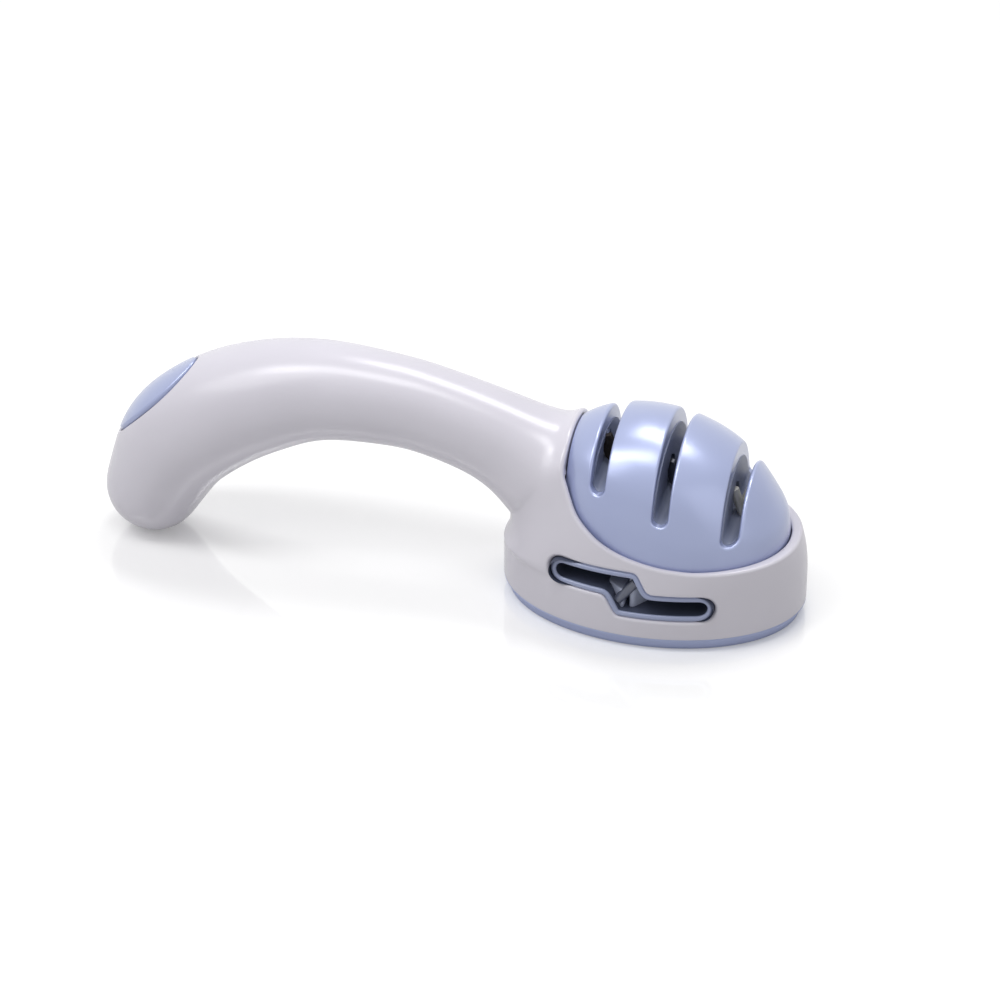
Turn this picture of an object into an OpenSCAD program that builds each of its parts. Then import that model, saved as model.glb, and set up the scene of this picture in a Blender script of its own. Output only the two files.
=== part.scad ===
// Hand-held knife and scissors sharpener: an arched handle that runs into an oval head,
// a lift-out module with three knife slots and a stepped scissor slot in the side of the head.
// X runs along the handle towards the head, Y across, Z up, origin under the middle of the part.

/* [Overall] */
// Length from the end of the handle to the front of the head
length = 226.4; // [218:0.1:236]
// Width of the head
width = 65; // [62:0.5:70]
// Height of the crown of the handle above the table
height = 73.3; // [72:0.1:76]

/* [Handle] */
// Thickness of the handle at its crown
grip_d = 30.6; // [28:0.1:33]
// Wall of the housing
wall = 2.2; // [1.8:0.1:2.6]
// Length of the oval plaque on the end of the handle
plaque_l = 38; // [28:0.5:40]
// Width of the oval plaque
plaque_w = 21.5; // [15:0.5:23]
// Diameter of the screws of the handle cover
handle_screw_d = 3; // [2.5:0.1:3.5]

/* [Head] */
// Length of the head
head_l = 95.2; // [90:0.1:98]
// Height of the rim round the module at the front
rim_h = 27.4; // [27:0.1:30]
// Height of the soft band of the sole
sole_h = 4.6; // [4:0.1:6]
// Thickness of the sole under the base plate
sole_t = 2; // [1.5:0.1:2.4]
// Thickness of the base plate
base_t = 2.5; // [2:0.1:3]
// Diameter of the base screws
base_screw_d = 3; // [2.5:0.1:3.5]

/* [Module] */
// Length of the oval of the module, before its flat rear side
module_l = 77.3; // [75:0.1:79]
// Width of the opening for the module
module_w = 59; // [56:0.5:60]
// Height of the ridge of the module
module_h = 63.8; // [63:0.1:68]
// Running gap between module and housing
module_gap = 0.4; // [0.3:0.05:0.6]
// Wall of the cover of the module at its sides
cover_t = 1.8; // [1.5:0.1:2.2]
// Thickness of the cover of the module under its ridge
ridge_t = 5; // [4:0.1:6]
// Width of the knife slots
slot_w = 4.8; // [4.6:0.1:6]
// Thickness of the sharpening plates
stone_t = 2; // [1.6:0.1:2.4]
// Diameter of the ceramic rods
rod_d = 3; // [2.6:0.1:3.4]

/* [Scissor slot] */
// Length of the stepped scissor slot
scissor_l = 51.6; // [48:0.1:54]
// Height of each run of the scissor slot
scissor_h = 8.5; // [8:0.1:9]
// Step between the two runs
scissor_step = 6.7; // [6:0.1:7.2]
// Depth of the scissor insert
scissor_depth = 13; // [11:0.1:14]

/* [Hidden] */

// Overrun of every cut
over = 1;
// Clearance between pieces that are fitted together
fit = 0.1;
// Clearance round screw heads and bosses
screw_gap = 0.2;

// Ends of the handle and of the head
foot_x = -length / 2;
front_x = length / 2;
rear_x = front_x - head_l;
head_x = front_x - head_l / 2;
grip_r = grip_d / 2;

// Stations of the handle from its foot to its throat: place along the handle, height of the top line as a
// share of the crown's, and half thickness as a share of the crown's
handle_shares = [
    [0.066, 0.692, 1.205], [0.165, 0.852, 1.225], [0.295, 0.955, 1.157], [0.452, 1, 1.026],
    [0.645, 0.973, 0.928], [0.758, 0.932, 0.908], [0.866, 0.881, 0.937], [0.94, 0.842, 1.02],
    [1, 0.818, 1.18]];
// Rings along each stretch between two stations
handle_steps = 2;
// Points round each ring of the housing
ring_points = 32;
// Radius of the ball at the foot
foot_r = 15.7;
foot_c = [foot_x + foot_r, foot_r, foot_r];
// Turns of the ball that closes the foot
foot_turns = [70, 50, 30, 12];
// How far the throat's centre lies in front of the head's rear wall
throat_in = 11;
throat_x = rear_x + throat_in;

function at_handle(s) = [
    foot_c.x + s[0] * (throat_x - foot_c.x), s[1] * height - s[2] * grip_r, s[2] * grip_r];
stations = concat([foot_c], [for (s = handle_shares) at_handle(s)]);

// Smooth curve through rows of numbers, at row i and a share t of the way to the next
function row_at(rows, i) = rows[max(0, min(len(rows) - 1, i))];
function smooth(rows, i, t) = let (a = row_at(rows, i - 1), b = row_at(rows, i),
    c = row_at(rows, i + 1), d = row_at(rows, i + 2))
    b + ((c - a) * t + (a * 2 - b * 5 + c * 4 - d) * t * t + (b * 3 - a - c * 3 + d) * t * t * t) / 2;
spine = concat(
    [for (i = [0:len(stations) - 2], k = [0:handle_steps - 1]) smooth(stations, i, k / handle_steps)],
    [stations[len(stations) - 1]]);
function slope_at(i) = let (a = row_at(spine, i - 1), b = row_at(spine, i + 1))
    atan2(b.y - a.y, b.x - a.x);

// One oval ring in the plane that leans by the given angle, across the middle of the part
function bend(v, e) = sign(v) * pow(abs(v), 2 / e);
function ring(c, lean, a, b, e) = [for (k = [0:ring_points - 1]) let (t = 360 * k / ring_points,
    u = a * bend(cos(t), e)) [c.x + u * cos(lean), b * bend(sin(t), e), c.y + u * sin(lean)]];

// The neck opens into the head like a fan hinged in the corner under the neck
throat = stations[len(stations) - 1];
throat_lean = slope_at(len(spine) - 1) + 90;
hinge_gap = 10.2;
hinge = [throat.x - (throat.z + hinge_gap) * cos(throat_lean),
    throat.y - (throat.z + hinge_gap) * sin(throat_lean)];
near_r = rear_x - hinge.x;
far_r = front_x - hinge.x;
// Rows of the fan: share of the throat's lean, then how far the inner side goes from the throat's to the
// head's, the outer reach as a share of the head's, the half width as a share of the head's, and how
// square the oval is
fan_shares = [
    [0.95, 0.06, 0.53, 0.562, 2], [0.9, 0.12, 0.582, 0.588, 2.02], [0.82, 0.22, 0.62, 0.625, 2.05],
    [0.74, 0.32, 0.66, 0.665, 2.08], [0.65, 0.43, 0.71, 0.72, 2.1], [0.55, 0.55, 0.775, 0.785, 2.12],
    [0.45, 0.66, 0.845, 0.85, 2.14], [0.35, 0.76, 0.9, 0.905, 2.16], [0.26, 0.84, 0.937, 0.942, 2.18],
    [0.18, 0.9, 0.962, 0.966, 2.2], [0.1, 0.95, 0.982, 0.986, 2.16], [0.05, 0.98, 0.993, 0.996, 2.08],
    [0, 1, 1, 1, 2]];
function fan_ring(row, inset) = let (lean = row[0] * throat_lean,
    low = hinge_gap + (near_r - hinge_gap) * row[1] + inset, high = row[2] * far_r - inset,
    mid = (low + high) / 2)
    ring([hinge.x + mid * cos(lean), hinge.y + mid * sin(lean)], lean, (high - low) / 2,
        row[3] * width / 2 - inset, row[4]);

// Closed skin over a row of rings
module skin(rings) {
    n = len(rings[0]);
    last = len(rings) - 1;
    function at(i, k) = i * n + k % n;
    polyhedron(
        points = [for (r = rings, p = r) p],
        faces = concat([[for (k = [n - 1:-1:0]) k]], [[for (k = [0:n - 1]) at(last, k)]],
            [for (i = [0:last - 1], k = [0:n - 1]) [at(i, k), at(i + 1, k + 1), at(i + 1, k)]],
            [for (i = [0:last - 1], k = [0:n - 1]) [at(i, k), at(i, k + 1), at(i + 1, k + 1)]]));
}

// Rings of the handle, numbered along the spine, inset from the outer surface
function grip_rings(inset, first, last) = [for (i = [first:last]) let (s = spine[i])
    ring([s.x, s.y], slope_at(i) + 90, s.z - inset, s.z - inset, 2)];

// Outer form of the housing, or the hollow inside it where inset is its wall, down to the height low
module body_form(inset, low) {
    first_lean = slope_at(0) + 90;
    ball_r = foot_r - inset;
    ball = [for (t = foot_turns) ring(
        [foot_c.x - ball_r * sin(t) * sin(first_lean), foot_c.y + ball_r * sin(t) * cos(first_lean)],
        first_lean, ball_r * cos(t), ball_r * cos(t), 2)];
    fan = [for (row = fan_shares) fan_ring(row, inset)];
    foot = [ring([head_x, low], 0, head_l / 2 - inset, width / 2 - inset, 2)];
    skin(concat(ball, grip_rings(inset, 0, len(spine) - 1), fan, foot));
}

// Upright block with the plan of the head, inset all round, with the same sides as the housing
module head_block(inset, low, high) skin([
    for (z = [high, low]) ring([head_x, z], 0, head_l / 2 - inset, width / 2 - inset, 2)]);
// Upright prism with an oval plan, a and b are its half length and half width
module oval_prism(x, a, b, low, high) translate([x, 0, low]) linear_extrude(high - low)
    scale([a, b]) circle(r = 1, $fn = 96);
// Block between two corners
module block(a, b) translate(a) cube(b - a);
// Outline in the plane of X and Z, drawn right across Y or between two places
module across(from_y, to_y) translate([0, to_y, 0]) rotate([90, 0, 0]) linear_extrude(to_y - from_y) children();
// Round bar along Y
module bar(x, z, d, from_y, to_y) translate([x, from_y, z]) rotate([-90, 0, 0])
    cylinder(d = d, h = to_y - from_y, $fn = 48);

// Screw with a flat round head, standing on its head at the origin
screw_head_share = 1.9;
screw_head_h = 1.4;
module screw(d, l) {
    cylinder(d = d * screw_head_share, h = screw_head_h, $fn = 36);
    cylinder(d = d, h = l, $fn = 36);
}
// Clearance round a screw: its hole, and a pocket for its head that runs out below
module screw_room(d, l, pocket) {
    cylinder(d = d + 2 * fit, h = l + over, $fn = 36);
    translate([0, 0, -pocket])
        cylinder(d = d * screw_head_share + 2 * screw_gap, h = pocket + screw_head_h, $fn = 36);
}

// Opening for the module: an oval with a flat rear side where the collar stands, rim_in behind the front
rim_in = 5.4;
collar_in = 22.3;
collar_x = rear_x + collar_in;
module_x = front_x - rim_in - module_l / 2;
module_sink = 1;
module_low = rim_h - module_sink;
oval_bend = 2.05;
module_points = 36;
function module_ring(z, rear, front, half) = [for (k = [0:module_points - 1])
    let (t = 360 * k / module_points, u = bend(cos(t), oval_bend), v = bend(sin(t), oval_bend))
    [(rear + front) / 2 + (front - rear) / 2 * u, half * v, z]];
module opening(low) intersection() {
    skin([for (z = [height + over, low])
        module_ring(z, module_x - module_l / 2, module_x + module_l / 2, module_w / 2)]);
    block([collar_x, -width, low - over], [front_x + over, width, height + 2 * over]);
}
// Upper edge of the head from the collar to the front: place along the head and height, as shares of the
// head's length and of the rim's height
rim_shares = [[0.234, 1.825], [0.248, 1.712], [0.267, 1.577], [0.287, 1.46], [0.307, 1.39], [0.33, 1.332],
    [0.357, 1.27], [0.389, 1.212], [0.436, 1.15], [0.488, 1.099], [0.567, 1.044], [0.643, 1.015], [0.725, 1],
    [1.05, 1]];
module above_rim() across(-width, width) polygon(concat(
    [for (s = rim_shares) [rear_x + s[0] * head_l, s[1] * rim_h]],
    [[front_x + head_l, rim_h], [front_x + head_l, 2 * height], [collar_x, 2 * height]]));
// Wall that closes the neck behind the module
bulkhead_t = 2.4;

// Underside cover of the handle, between two rings of the spine: the part of the tube below this share of
// its half thickness. A narrower window under it opens the hollow of the handle.
cover_share = 0.87;
window_share = 0.5;
window_in = 3;
window_half = 4.5;
cover_first_ring = 5;
cover_last_ring = 14;
module cover_zone(share, gap, half) {
    function below(i, d) = [spine[i].x + d * sin(slope_at(i)), spine[i].y - d * cos(slope_at(i))];
    across(-half, half) offset(delta = -gap) polygon(concat(
        [for (i = [cover_first_ring:cover_last_ring]) below(i, share * spine[i].z)],
        [for (i = [cover_last_ring:-1:cover_first_ring]) below(i, (2 - share) * spine[i].z)]));
}
// Screws of the handle cover stand at these rings of the spine, with their heads outside
handle_screw_rings = [6, 9, 13];
handle_screw_l = 14;
handle_boss_d = 7;
handle_head_in = 0.6;
module at_spine(i) translate([spine[i].x, 0, spine[i].y]) rotate([0, -slope_at(i), 0]) children();
module at_handle_screws() for (i = handle_screw_rings) at_spine(i)
    translate([0, 0, handle_head_in - spine[i].z]) children();
// Round posts of the handle screws, from one depth under the spine to another
module handle_post(i, low, high) at_spine(i) translate([0, 0, -low])
    cylinder(d = handle_boss_d, h = low - high, $fn = 36);
function window_depth_at(i) = window_share * spine[i].z + window_in;

// Plaque on the end of the handle, square to the outer surface there
plaque_ring = 3;
plaque_last_ring = 6;
plaque_t = 1.2;
plaque_back = 2;
module plaque_prism(gap) at_spine(plaque_ring) translate([-plaque_back, 0, 0])
    linear_extrude(2 * spine[plaque_ring].z) scale([plaque_l / 2 + gap, plaque_w / 2 + gap])
    circle(r = 1, $fn = 72);
// Layer under the plaque, at the given depth below the surface of the handle
module plaque_bed(inset) skin(grip_rings(inset, 0, plaque_last_ring));

// Base screws stand inside the ends of the head
base_screw_in = 11;
base_screw_y = 12;
base_boss_d = 7;
base_boss_h = 16;
base_rib_t = 2;
base_screw_l = 13;
base_top = sole_t + base_t;
screw_z = sole_t - screw_head_h;
module at_base_screws(z) for (end = [-1, 1], side = [-1, 1])
    translate([head_x + end * (head_l / 2 - base_screw_in), side * base_screw_y, z])
    rotate([0, 0, end < 0 ? 180 : 0]) children();
// Posts for the base screws, each with a rib out to the wall of the head
module base_posts(gap) at_base_screws(base_top) {
    cylinder(d = base_boss_d + 2 * gap, h = base_boss_h, $fn = 36);
    block([0, -base_rib_t / 2 - gap, 0], [base_screw_in, base_rib_t / 2 + gap, base_boss_h]);
}

// Stepped outline of the scissor slot, seen from the side, inset all round. It lies under the module.
scissor_off = 1.4;
scissor_x = head_x - scissor_off;
scissor_gap = 0.3;
scissor_z = module_low - scissor_gap - (scissor_h + scissor_step) / 2;
step_run = 3.6;
step_turn = atan2(scissor_step, step_run);
step_half = 3;
// How far the step stands to the rear of the slot's middle
step_back = 1;
step_x = scissor_x - step_back;
module step_outline(inset) {
    h = scissor_h / 2 - inset;
    end = scissor_l / 2 - scissor_h / 2;
    up = scissor_step / 2;
    k = step_half - inset * tan(step_turn / 2);
    translate([scissor_x, scissor_z]) {
        polygon([[-end, up + h], [k - step_back, up + h], [k + step_run - step_back, h - up], [end, h - up],
            [end, -up - h], [-k - step_back, -up - h], [-k - step_run - step_back, up - h], [-end, up - h]]);
        translate([-end, up]) circle(r = h, $fn = 48);
        translate([end, -up]) circle(r = h, $fn = 48);
    }
}

module housing() color("#dcd8e2") difference() {
    union() {
        difference() {
            body_form(0, sole_h);
            difference() {
                body_form(wall, sole_h - over);
                block([collar_x - bulkhead_t, -width, module_low], [collar_x, width, height]);
            }
        }
        for (i = handle_screw_rings) handle_post(i, window_depth_at(i), wall / 2 - spine[i].z);
        intersection() {
            base_posts(0);
            head_block(wall / 2, base_top, base_top + base_boss_h);
        }
    }
    opening(module_low - 2 * over);
    above_rim();
    across(-width, -width / 2 + scissor_depth) step_outline(-fit);
    difference() {
        plaque_prism(fit);
        plaque_bed(plaque_t + fit);
    }
    cover_zone(cover_share, 0, width);
    cover_zone(window_share, window_in, window_half);
    at_handle_screws() screw_room(handle_screw_d, handle_screw_l, over);
    at_base_screws(screw_z) screw_room(base_screw_d, base_screw_l, over);
}

module handle_cover() color("#cfccd6") difference() {
    union() {
        intersection() {
            skin(grip_rings(0, cover_first_ring - 1, cover_last_ring + 1));
            cover_zone(cover_share, fit, width);
        }
        for (i = handle_screw_rings)
            handle_post(i, cover_share * spine[i].z + 2 * fit, window_depth_at(i) + fit);
    }
    at_handle_screws() screw_room(handle_screw_d, handle_screw_l, 3 * over);
}

module handle_screws() color("#9a9da3") at_handle_screws() screw(handle_screw_d, handle_screw_l);

module end_plaque() color("#b4bfec") intersection() {
    plaque_prism(0);
    difference() {
        plaque_bed(0);
        plaque_bed(plaque_t);
    }
}

// Locating ring of the base plate inside the wall of the head
locating_t = 1.5;
locating_h = 4;
module base_plate() color("#c9c7cf") difference() {
    head_block(wall + fit, sole_t, base_top + locating_h);
    head_block(wall + fit + locating_t, base_top, base_top + locating_h + over);
    base_posts(screw_gap);
    at_base_screws(screw_z) screw_room(base_screw_d, base_screw_l, over);
    at_tray_screws(screw_z) screw_room(base_screw_d, base_screw_l, over);
    at_scissor_screws(screw_z) screw_room(base_screw_d, base_screw_l, over);
}

sole_taper = 2;
module sole() color("#8f96b8") difference() {
    skin([ring([head_x, sole_h], 0, head_l / 2, width / 2, 2),
        ring([head_x, 0], 0, head_l / 2 - sole_taper, width / 2 - sole_taper, 2)]);
    head_block(wall, sole_t, sole_h + over);
    at_base_screws(screw_z) screw_room(base_screw_d, base_screw_l, 2 * over);
    at_tray_screws(screw_z) screw_room(base_screw_d, base_screw_l, 2 * over);
    at_scissor_screws(screw_z) screw_room(base_screw_d, base_screw_l, 2 * over);
}

module base_screws() color("#9a9da3") at_base_screws(screw_z) screw(base_screw_d, base_screw_l);

// Tray that carries the module: a box with a shelf, standing on the base plate. The plate of the module
// lies on the shelf, and a tongue under the module's core stands on that plate.
tray_l = 56;
tray_t = 2;
core_plate_t = 2.5;
tongue_h = 3.3;
tray_lip = 3;
// Clear space between the tray and the back of the scissor slot
tray_clear = 4;
tray_w = width - 2 * (scissor_depth + tray_clear);
plate_top = module_low - tongue_h;
shelf_z = plate_top - core_plate_t - fit;
shelf_t = 2.2;
tray_boss_d = 7;
tray_screw_x = 15;
module at_tray_screws(z) for (side = [-1, 1]) translate([module_x + side * tray_screw_x, 0, z]) children();
// Block on the middle of the tray, inset from its sides
module tray_block(inset, low, high) block([module_x - tray_l / 2 + inset, -tray_w / 2 + inset, low],
    [module_x + tray_l / 2 - inset, tray_w / 2 - inset, high]);
module seat_tray() color("#c3c1ca") difference() {
    union() {
        difference() {
            tray_block(0, base_top, shelf_z + tray_lip);
            tray_block(tray_t, base_top - over, shelf_z - shelf_t);
            tray_block(tray_t, shelf_z, shelf_z + tray_lip + over);
        }
        at_tray_screws(base_top)
            cylinder(d = tray_boss_d, h = shelf_z - shelf_t / 2 - base_top, $fn = 36);
    }
    at_tray_screws(screw_z) screw_room(base_screw_d, base_screw_l, over);
}
module tray_screws() color("#9a9da3") at_tray_screws(screw_z) screw(base_screw_d, base_screw_l);

// Scissor insert: a tray behind the stepped slot, with bosses that stand on the base plate
insert_sink = 0.4;
insert_rim = 1.5;
insert_back = 1.8;
insert_boss_d = 6.4;
scissor_screw_x = 13.5;
scissor_screw_l = 9;
scissor_back_y = -width / 2 + scissor_depth;
scissor_screw_y = scissor_back_y - fit - insert_boss_d / 2;
module at_scissor_screws(z) for (side = [-1, 1])
    translate([scissor_x + side * scissor_screw_x, scissor_screw_y, z]) children();
module scissor_insert() color("#4e5366") difference() {
    union() {
        intersection() {
            across(-width, scissor_back_y - fit) step_outline(0);
            oval_prism(head_x, head_l / 2 - insert_sink, width / 2 - insert_sink, sole_h, height);
        }
        for (side = [-1, 1]) translate([scissor_x + side * scissor_screw_x, scissor_screw_y, base_top])
            cylinder(d = insert_boss_d, h = scissor_z - side * scissor_step / 2 - base_top, $fn = 36);
    }
    across(-width, scissor_back_y - insert_back) step_outline(insert_rim);
    at_scissor_screws(screw_z) screw_room(base_screw_d, scissor_screw_l, over);
}
// Guide block in the middle of the scissor slot
guide_l = 11;
guide_in = 3;
scissor_rod_d = 3;
scissor_rod_l = 9;
scissor_rod_lean = 38;
scissor_rod_in = 0.6;
module scissor_rod_place() translate([step_x, -width / 2 + guide_in + scissor_rod_in, scissor_z])
    rotate([0, scissor_rod_lean, 0]) children();
module scissor_guide() color("#8e92ab") difference() {
    intersection() {
        across(-width / 2 + guide_in, scissor_back_y - insert_back - fit) step_outline(insert_rim + fit);
        block([step_x - guide_l / 2, -width, 0], [step_x + guide_l / 2, width, height]);
    }
    scissor_rod_place() translate([0, 0, -scissor_depth])
        cylinder(d = scissor_rod_d + 2 * fit, h = 2 * scissor_depth, $fn = 36);
}
module scissor_rod() color("#e9e9e4") scissor_rod_place() translate([0, 0, -scissor_rod_l / 2])
    cylinder(d = scissor_rod_d, h = scissor_rod_l, $fn = 36);
module scissor_screws() color("#9a9da3") at_scissor_screws(screw_z) screw(base_screw_d, scissor_screw_l);

// Levels of the domed module: height share between its lower edge and its ridge, how far the rear and
// the front draw in as shares of its length, and its half width as a share
dome_shares = [
    [0, 0, 0, 1], [0.118, 0.005, 0.003, 0.995], [0.22, 0.012, 0.015, 0.983], [0.349, 0.02, 0.053, 0.956],
    [0.477, 0.032, 0.092, 0.915], [0.605, 0.047, 0.141, 0.854], [0.708, 0.065, 0.195, 0.776],
    [0.797, 0.097, 0.263, 0.678], [0.874, 0.146, 0.333, 0.556], [0.938, 0.225, 0.409, 0.4],
    [0.979, 0.308, 0.487, 0.23], [1, 0.385, 0.558, 0.07]];
// Height of the straight skirt at the foot of the dome
skirt_h = 0.2;
// Domed form, inset from the outer surface of the cover, its top lowered by drop, down to the height low
module dome_form(inset, drop, low) {
    foot = module_low + skirt_h;
    rear = module_x - module_l / 2 + module_gap + inset;
    front = module_x + module_l / 2 - module_gap - inset;
    long = front - rear;
    half = module_w / 2 - module_gap - inset;
    function level(s, z) = module_ring(z, rear + s[1] * long, front - s[2] * long, s[3] * half);
    intersection() {
        skin(concat(
            [for (k = [len(dome_shares) - 1:-1:0]) let (s = dome_shares[k])
                level(s, foot + s[0] * (module_h - foot - drop))],
            [level(dome_shares[0], low)]));
        block([collar_x + module_gap + inset, -width, low - over], [front_x, width, height]);
    }
}

// Knife slots from the rear to the front: place along the module and height of the floor, as shares
slot_shares = [[0.277, 0.737], [0.538, 0.644], [0.802, 0.538]];
slots = [0, 1, 2];
function slot_x(i) = module_x + (slot_shares[i][0] - 0.5) * module_l;
function slot_z(i) = slot_shares[i][1] * module_h;
module knife_slots(w) for (i = slots) {
    bar(slot_x(i), slot_z(i) + w / 2, w, -width, width);
    block([slot_x(i) - w / 2, -width, slot_z(i) + w / 2], [slot_x(i) + w / 2, width, height + over]);
}

module dome_cover() color("#a9b3d8") difference() {
    dome_form(0, 0, module_low);
    dome_form(cover_t, ridge_t, module_low - over);
    knife_slots(slot_w);
}

// Core of the module in two halves that clamp the sharpening pieces, on a plate in the tray
core_slot_in = 0.25;
tongue_l = 50;
tongue_in = 3;
tongue_w = tray_w - 2 * tongue_in;
core_screw_d = 2.5;
core_screw_l = 22;
core_screw_rise = 4;
core_screw_z = module_low + core_screw_rise;
// Screws stand midway between neighbouring slots
module between_slots() for (i = [0:len(slots) - 2]) translate([(slot_x(i) + slot_x(i + 1)) / 2, 0, 0]) children();
module at_core_screws() between_slots() translate([0, -core_screw_l / 2, core_screw_z])
    rotate([-90, 0, 0]) children();
plate_screw_share = 0.28;
plate_screw_y = plate_screw_share * tongue_w;
plate_screw_l = 6.5;
module at_plate_screws() between_slots() for (side = [-1, 1])
    translate([0, side * plate_screw_y, shelf_z + fit]) children();
// Pentagon windows beside each slot, where the sharpening pieces reach through its walls
niche_half = 5;
niche_low = 1;
niche_in = 3.6;
niche_sides = 7;
niche_peak = 10;
module niches() for (i = slots) translate([slot_x(i) - slot_w / 2 - niche_in, 0, slot_z(i)])
    rotate([90, 0, 90]) linear_extrude(slot_w + 2 * niche_in) polygon([
        [-niche_half, niche_low], [niche_half, niche_low], [niche_half, niche_sides], [0, niche_peak],
        [-niche_half, niche_sides]]);
module core() color("#4a4f61") difference() {
    union() {
        dome_form(cover_t + fit, ridge_t + fit, module_low);
        block([module_x - tongue_l / 2, -tongue_w / 2, plate_top],
            [module_x + tongue_l / 2, tongue_w / 2, module_low + over]);
    }
    knife_slots(slot_w - 2 * core_slot_in);
    niches();
    for (i = slots, side = [-1, 1]) stone_place(i, side) stone(i, fit);
    at_core_screws() screw_room(core_screw_d, core_screw_l, width);
    at_plate_screws() screw_room(core_screw_d, plate_screw_l, over);
}
module core_near() color("#4a4f61") intersection() {
    core();
    block([collar_x, -width, 0], [front_x, -fit / 2, height]);
}
module core_far() color("#454a5c") intersection() {
    core();
    block([collar_x, fit / 2, 0], [front_x, width, height]);
}
module core_screws() color("#9a9da3") at_core_screws() screw(core_screw_d, core_screw_l);
module core_plate() color("#3f4352") difference() {
    tray_block(tray_t + module_gap, shelf_z + fit, plate_top);
    at_plate_screws() screw_room(core_screw_d, plate_screw_l, over);
}
module plate_screws() color("#9a9da3") at_plate_screws() screw(core_screw_d, plate_screw_l);

// Sharpening pieces cross in each slot: they lean to either side of it and lie side by side across it
stone_lean = 20;
stone_cross = 1.2;
stone_up = 7.5;
stone_down = 6;
stone_w = 4;
stone_apart = 0.1;
module stone_place(i, side)
    translate([slot_x(i), side * ((i == 2 ? rod_d : stone_t) / 2 + stone_apart), slot_z(i) + stone_cross])
    rotate([0, side * stone_lean, 0]) children();
// One sharpening piece, larger all round by gap where it is the room for it
module stone(i, gap) {
    half_w = stone_w / 2 + gap;
    half_t = stone_t / 2 + gap;
    low = -stone_down - gap;
    if (i == 0) block([-half_w, -half_t, low], [half_w, half_t, stone_up + gap]);
    if (i == 1) {
        block([-half_w, -half_t, low], [half_w, half_t, stone_up - stone_w / 2]);
        bar(0, stone_up - stone_w / 2, 2 * half_w, -half_t, half_t);
    }
    if (i == 2) translate([0, 0, low]) cylinder(d = rod_d + 2 * gap, h = stone_up + gap - low, $fn = 36);
}
module coarse_plates() color("#3a3733") for (side = [-1, 1]) stone_place(0, side) stone(0, 0);
module carbide_blades() color("#6d7078") for (side = [-1, 1]) stone_place(1, side) stone(1, 0);
module ceramic_rods() color("#e9e9e4") for (side = [-1, 1]) stone_place(2, side) stone(2, 0);

housing();
handle_cover();
handle_screws();
end_plaque();
base_plate();
sole();
base_screws();
seat_tray();
tray_screws();
scissor_insert();
scissor_guide();
scissor_rod();
scissor_screws();
dome_cover();
core_near();
core_far();
core_screws();
core_plate();
plate_screws();
coarse_plates();
carbide_blades();
ceramic_rods();
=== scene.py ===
"""Dress of a hand-held knife and scissors sharpener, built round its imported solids.

The part stands as it is used: +X runs from the handle to the head, +Y across and +Z up, with the
origin under the middle. Classes hold sizes in millimetres, and meshes are made in metres.
"""

import logging
import math
from dataclasses import dataclass, field
from enum import Enum
from typing import Any, Callable, Sequence

import bpy
import numpy as np
from mathutils import Matrix, Vector

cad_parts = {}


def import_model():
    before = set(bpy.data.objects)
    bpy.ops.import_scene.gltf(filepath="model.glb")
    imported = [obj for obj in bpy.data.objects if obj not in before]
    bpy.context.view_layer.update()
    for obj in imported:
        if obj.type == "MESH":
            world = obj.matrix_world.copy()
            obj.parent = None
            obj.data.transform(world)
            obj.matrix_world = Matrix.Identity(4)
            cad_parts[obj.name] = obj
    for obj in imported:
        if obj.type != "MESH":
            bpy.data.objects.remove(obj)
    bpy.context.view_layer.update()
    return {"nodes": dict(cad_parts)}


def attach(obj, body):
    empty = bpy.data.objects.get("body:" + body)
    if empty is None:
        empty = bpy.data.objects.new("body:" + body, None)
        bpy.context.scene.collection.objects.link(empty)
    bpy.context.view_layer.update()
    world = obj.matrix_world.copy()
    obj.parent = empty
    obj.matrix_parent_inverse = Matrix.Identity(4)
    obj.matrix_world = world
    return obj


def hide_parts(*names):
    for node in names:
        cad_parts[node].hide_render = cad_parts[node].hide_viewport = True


log = logging.getLogger("sharpener")
MM = 0.001
QUARTER = 0.5 * math.pi
ACROSS = np.array([0, 1.0, 0])
UP = np.array([0, 0, 1.0])
# Keeps divisions by a length away from nought
TINY = 1e-12
# Side of a box that is left open
OPEN = math.inf
# Points whose distances are worked out together
BATCH = 4000
# A point closer than this to a line takes the line's own left as its way out
ON_LINE = 1e-3
# A crossing closer than this share of an edge moves the edge's end instead of cutting it
SNAP_SHARE = 0.22
# A loop of a cut with no more points than this is a sliver, not an edge
SLIVER = 8
# Value by which a cut leaves a point alone
UNTOUCHED = -50.0

Ring = tuple[np.ndarray, np.ndarray]


# Numbers


def unit(v: np.ndarray) -> np.ndarray:
    """Vectors scaled to length one."""
    return v / np.maximum(np.linalg.norm(v, axis=-1, keepdims=True), TINY)


def catmull(rows: np.ndarray, u: np.ndarray) -> np.ndarray:
    """Smooth curve through rows of numbers.

    Args:
        rows: The rows that the curve goes through.
        u: Places along it, in rows.

    Returns:
        One row for each place.
    """
    n = len(rows)
    i = np.clip(np.floor(u).astype(int), 0, n - 2)
    t = (u - i)[:, None]
    a, b = rows[np.clip(i - 1, 0, n - 1)], rows[i]
    c, d = rows[i + 1], rows[np.clip(i + 2, 0, n - 1)]
    square, cube = 2 * a - 5 * b + 4 * c - d, 3 * b - a - 3 * c + d
    return b + ((c - a) * t + square * t**2 + cube * t**3) / 2


def places_between(rows: np.ndarray, parts: int) -> np.ndarray:
    """Places along rows that divide each step between two rows into parts."""
    return np.linspace(0, len(rows) - 1, parts * (len(rows) - 1) + 1)


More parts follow.
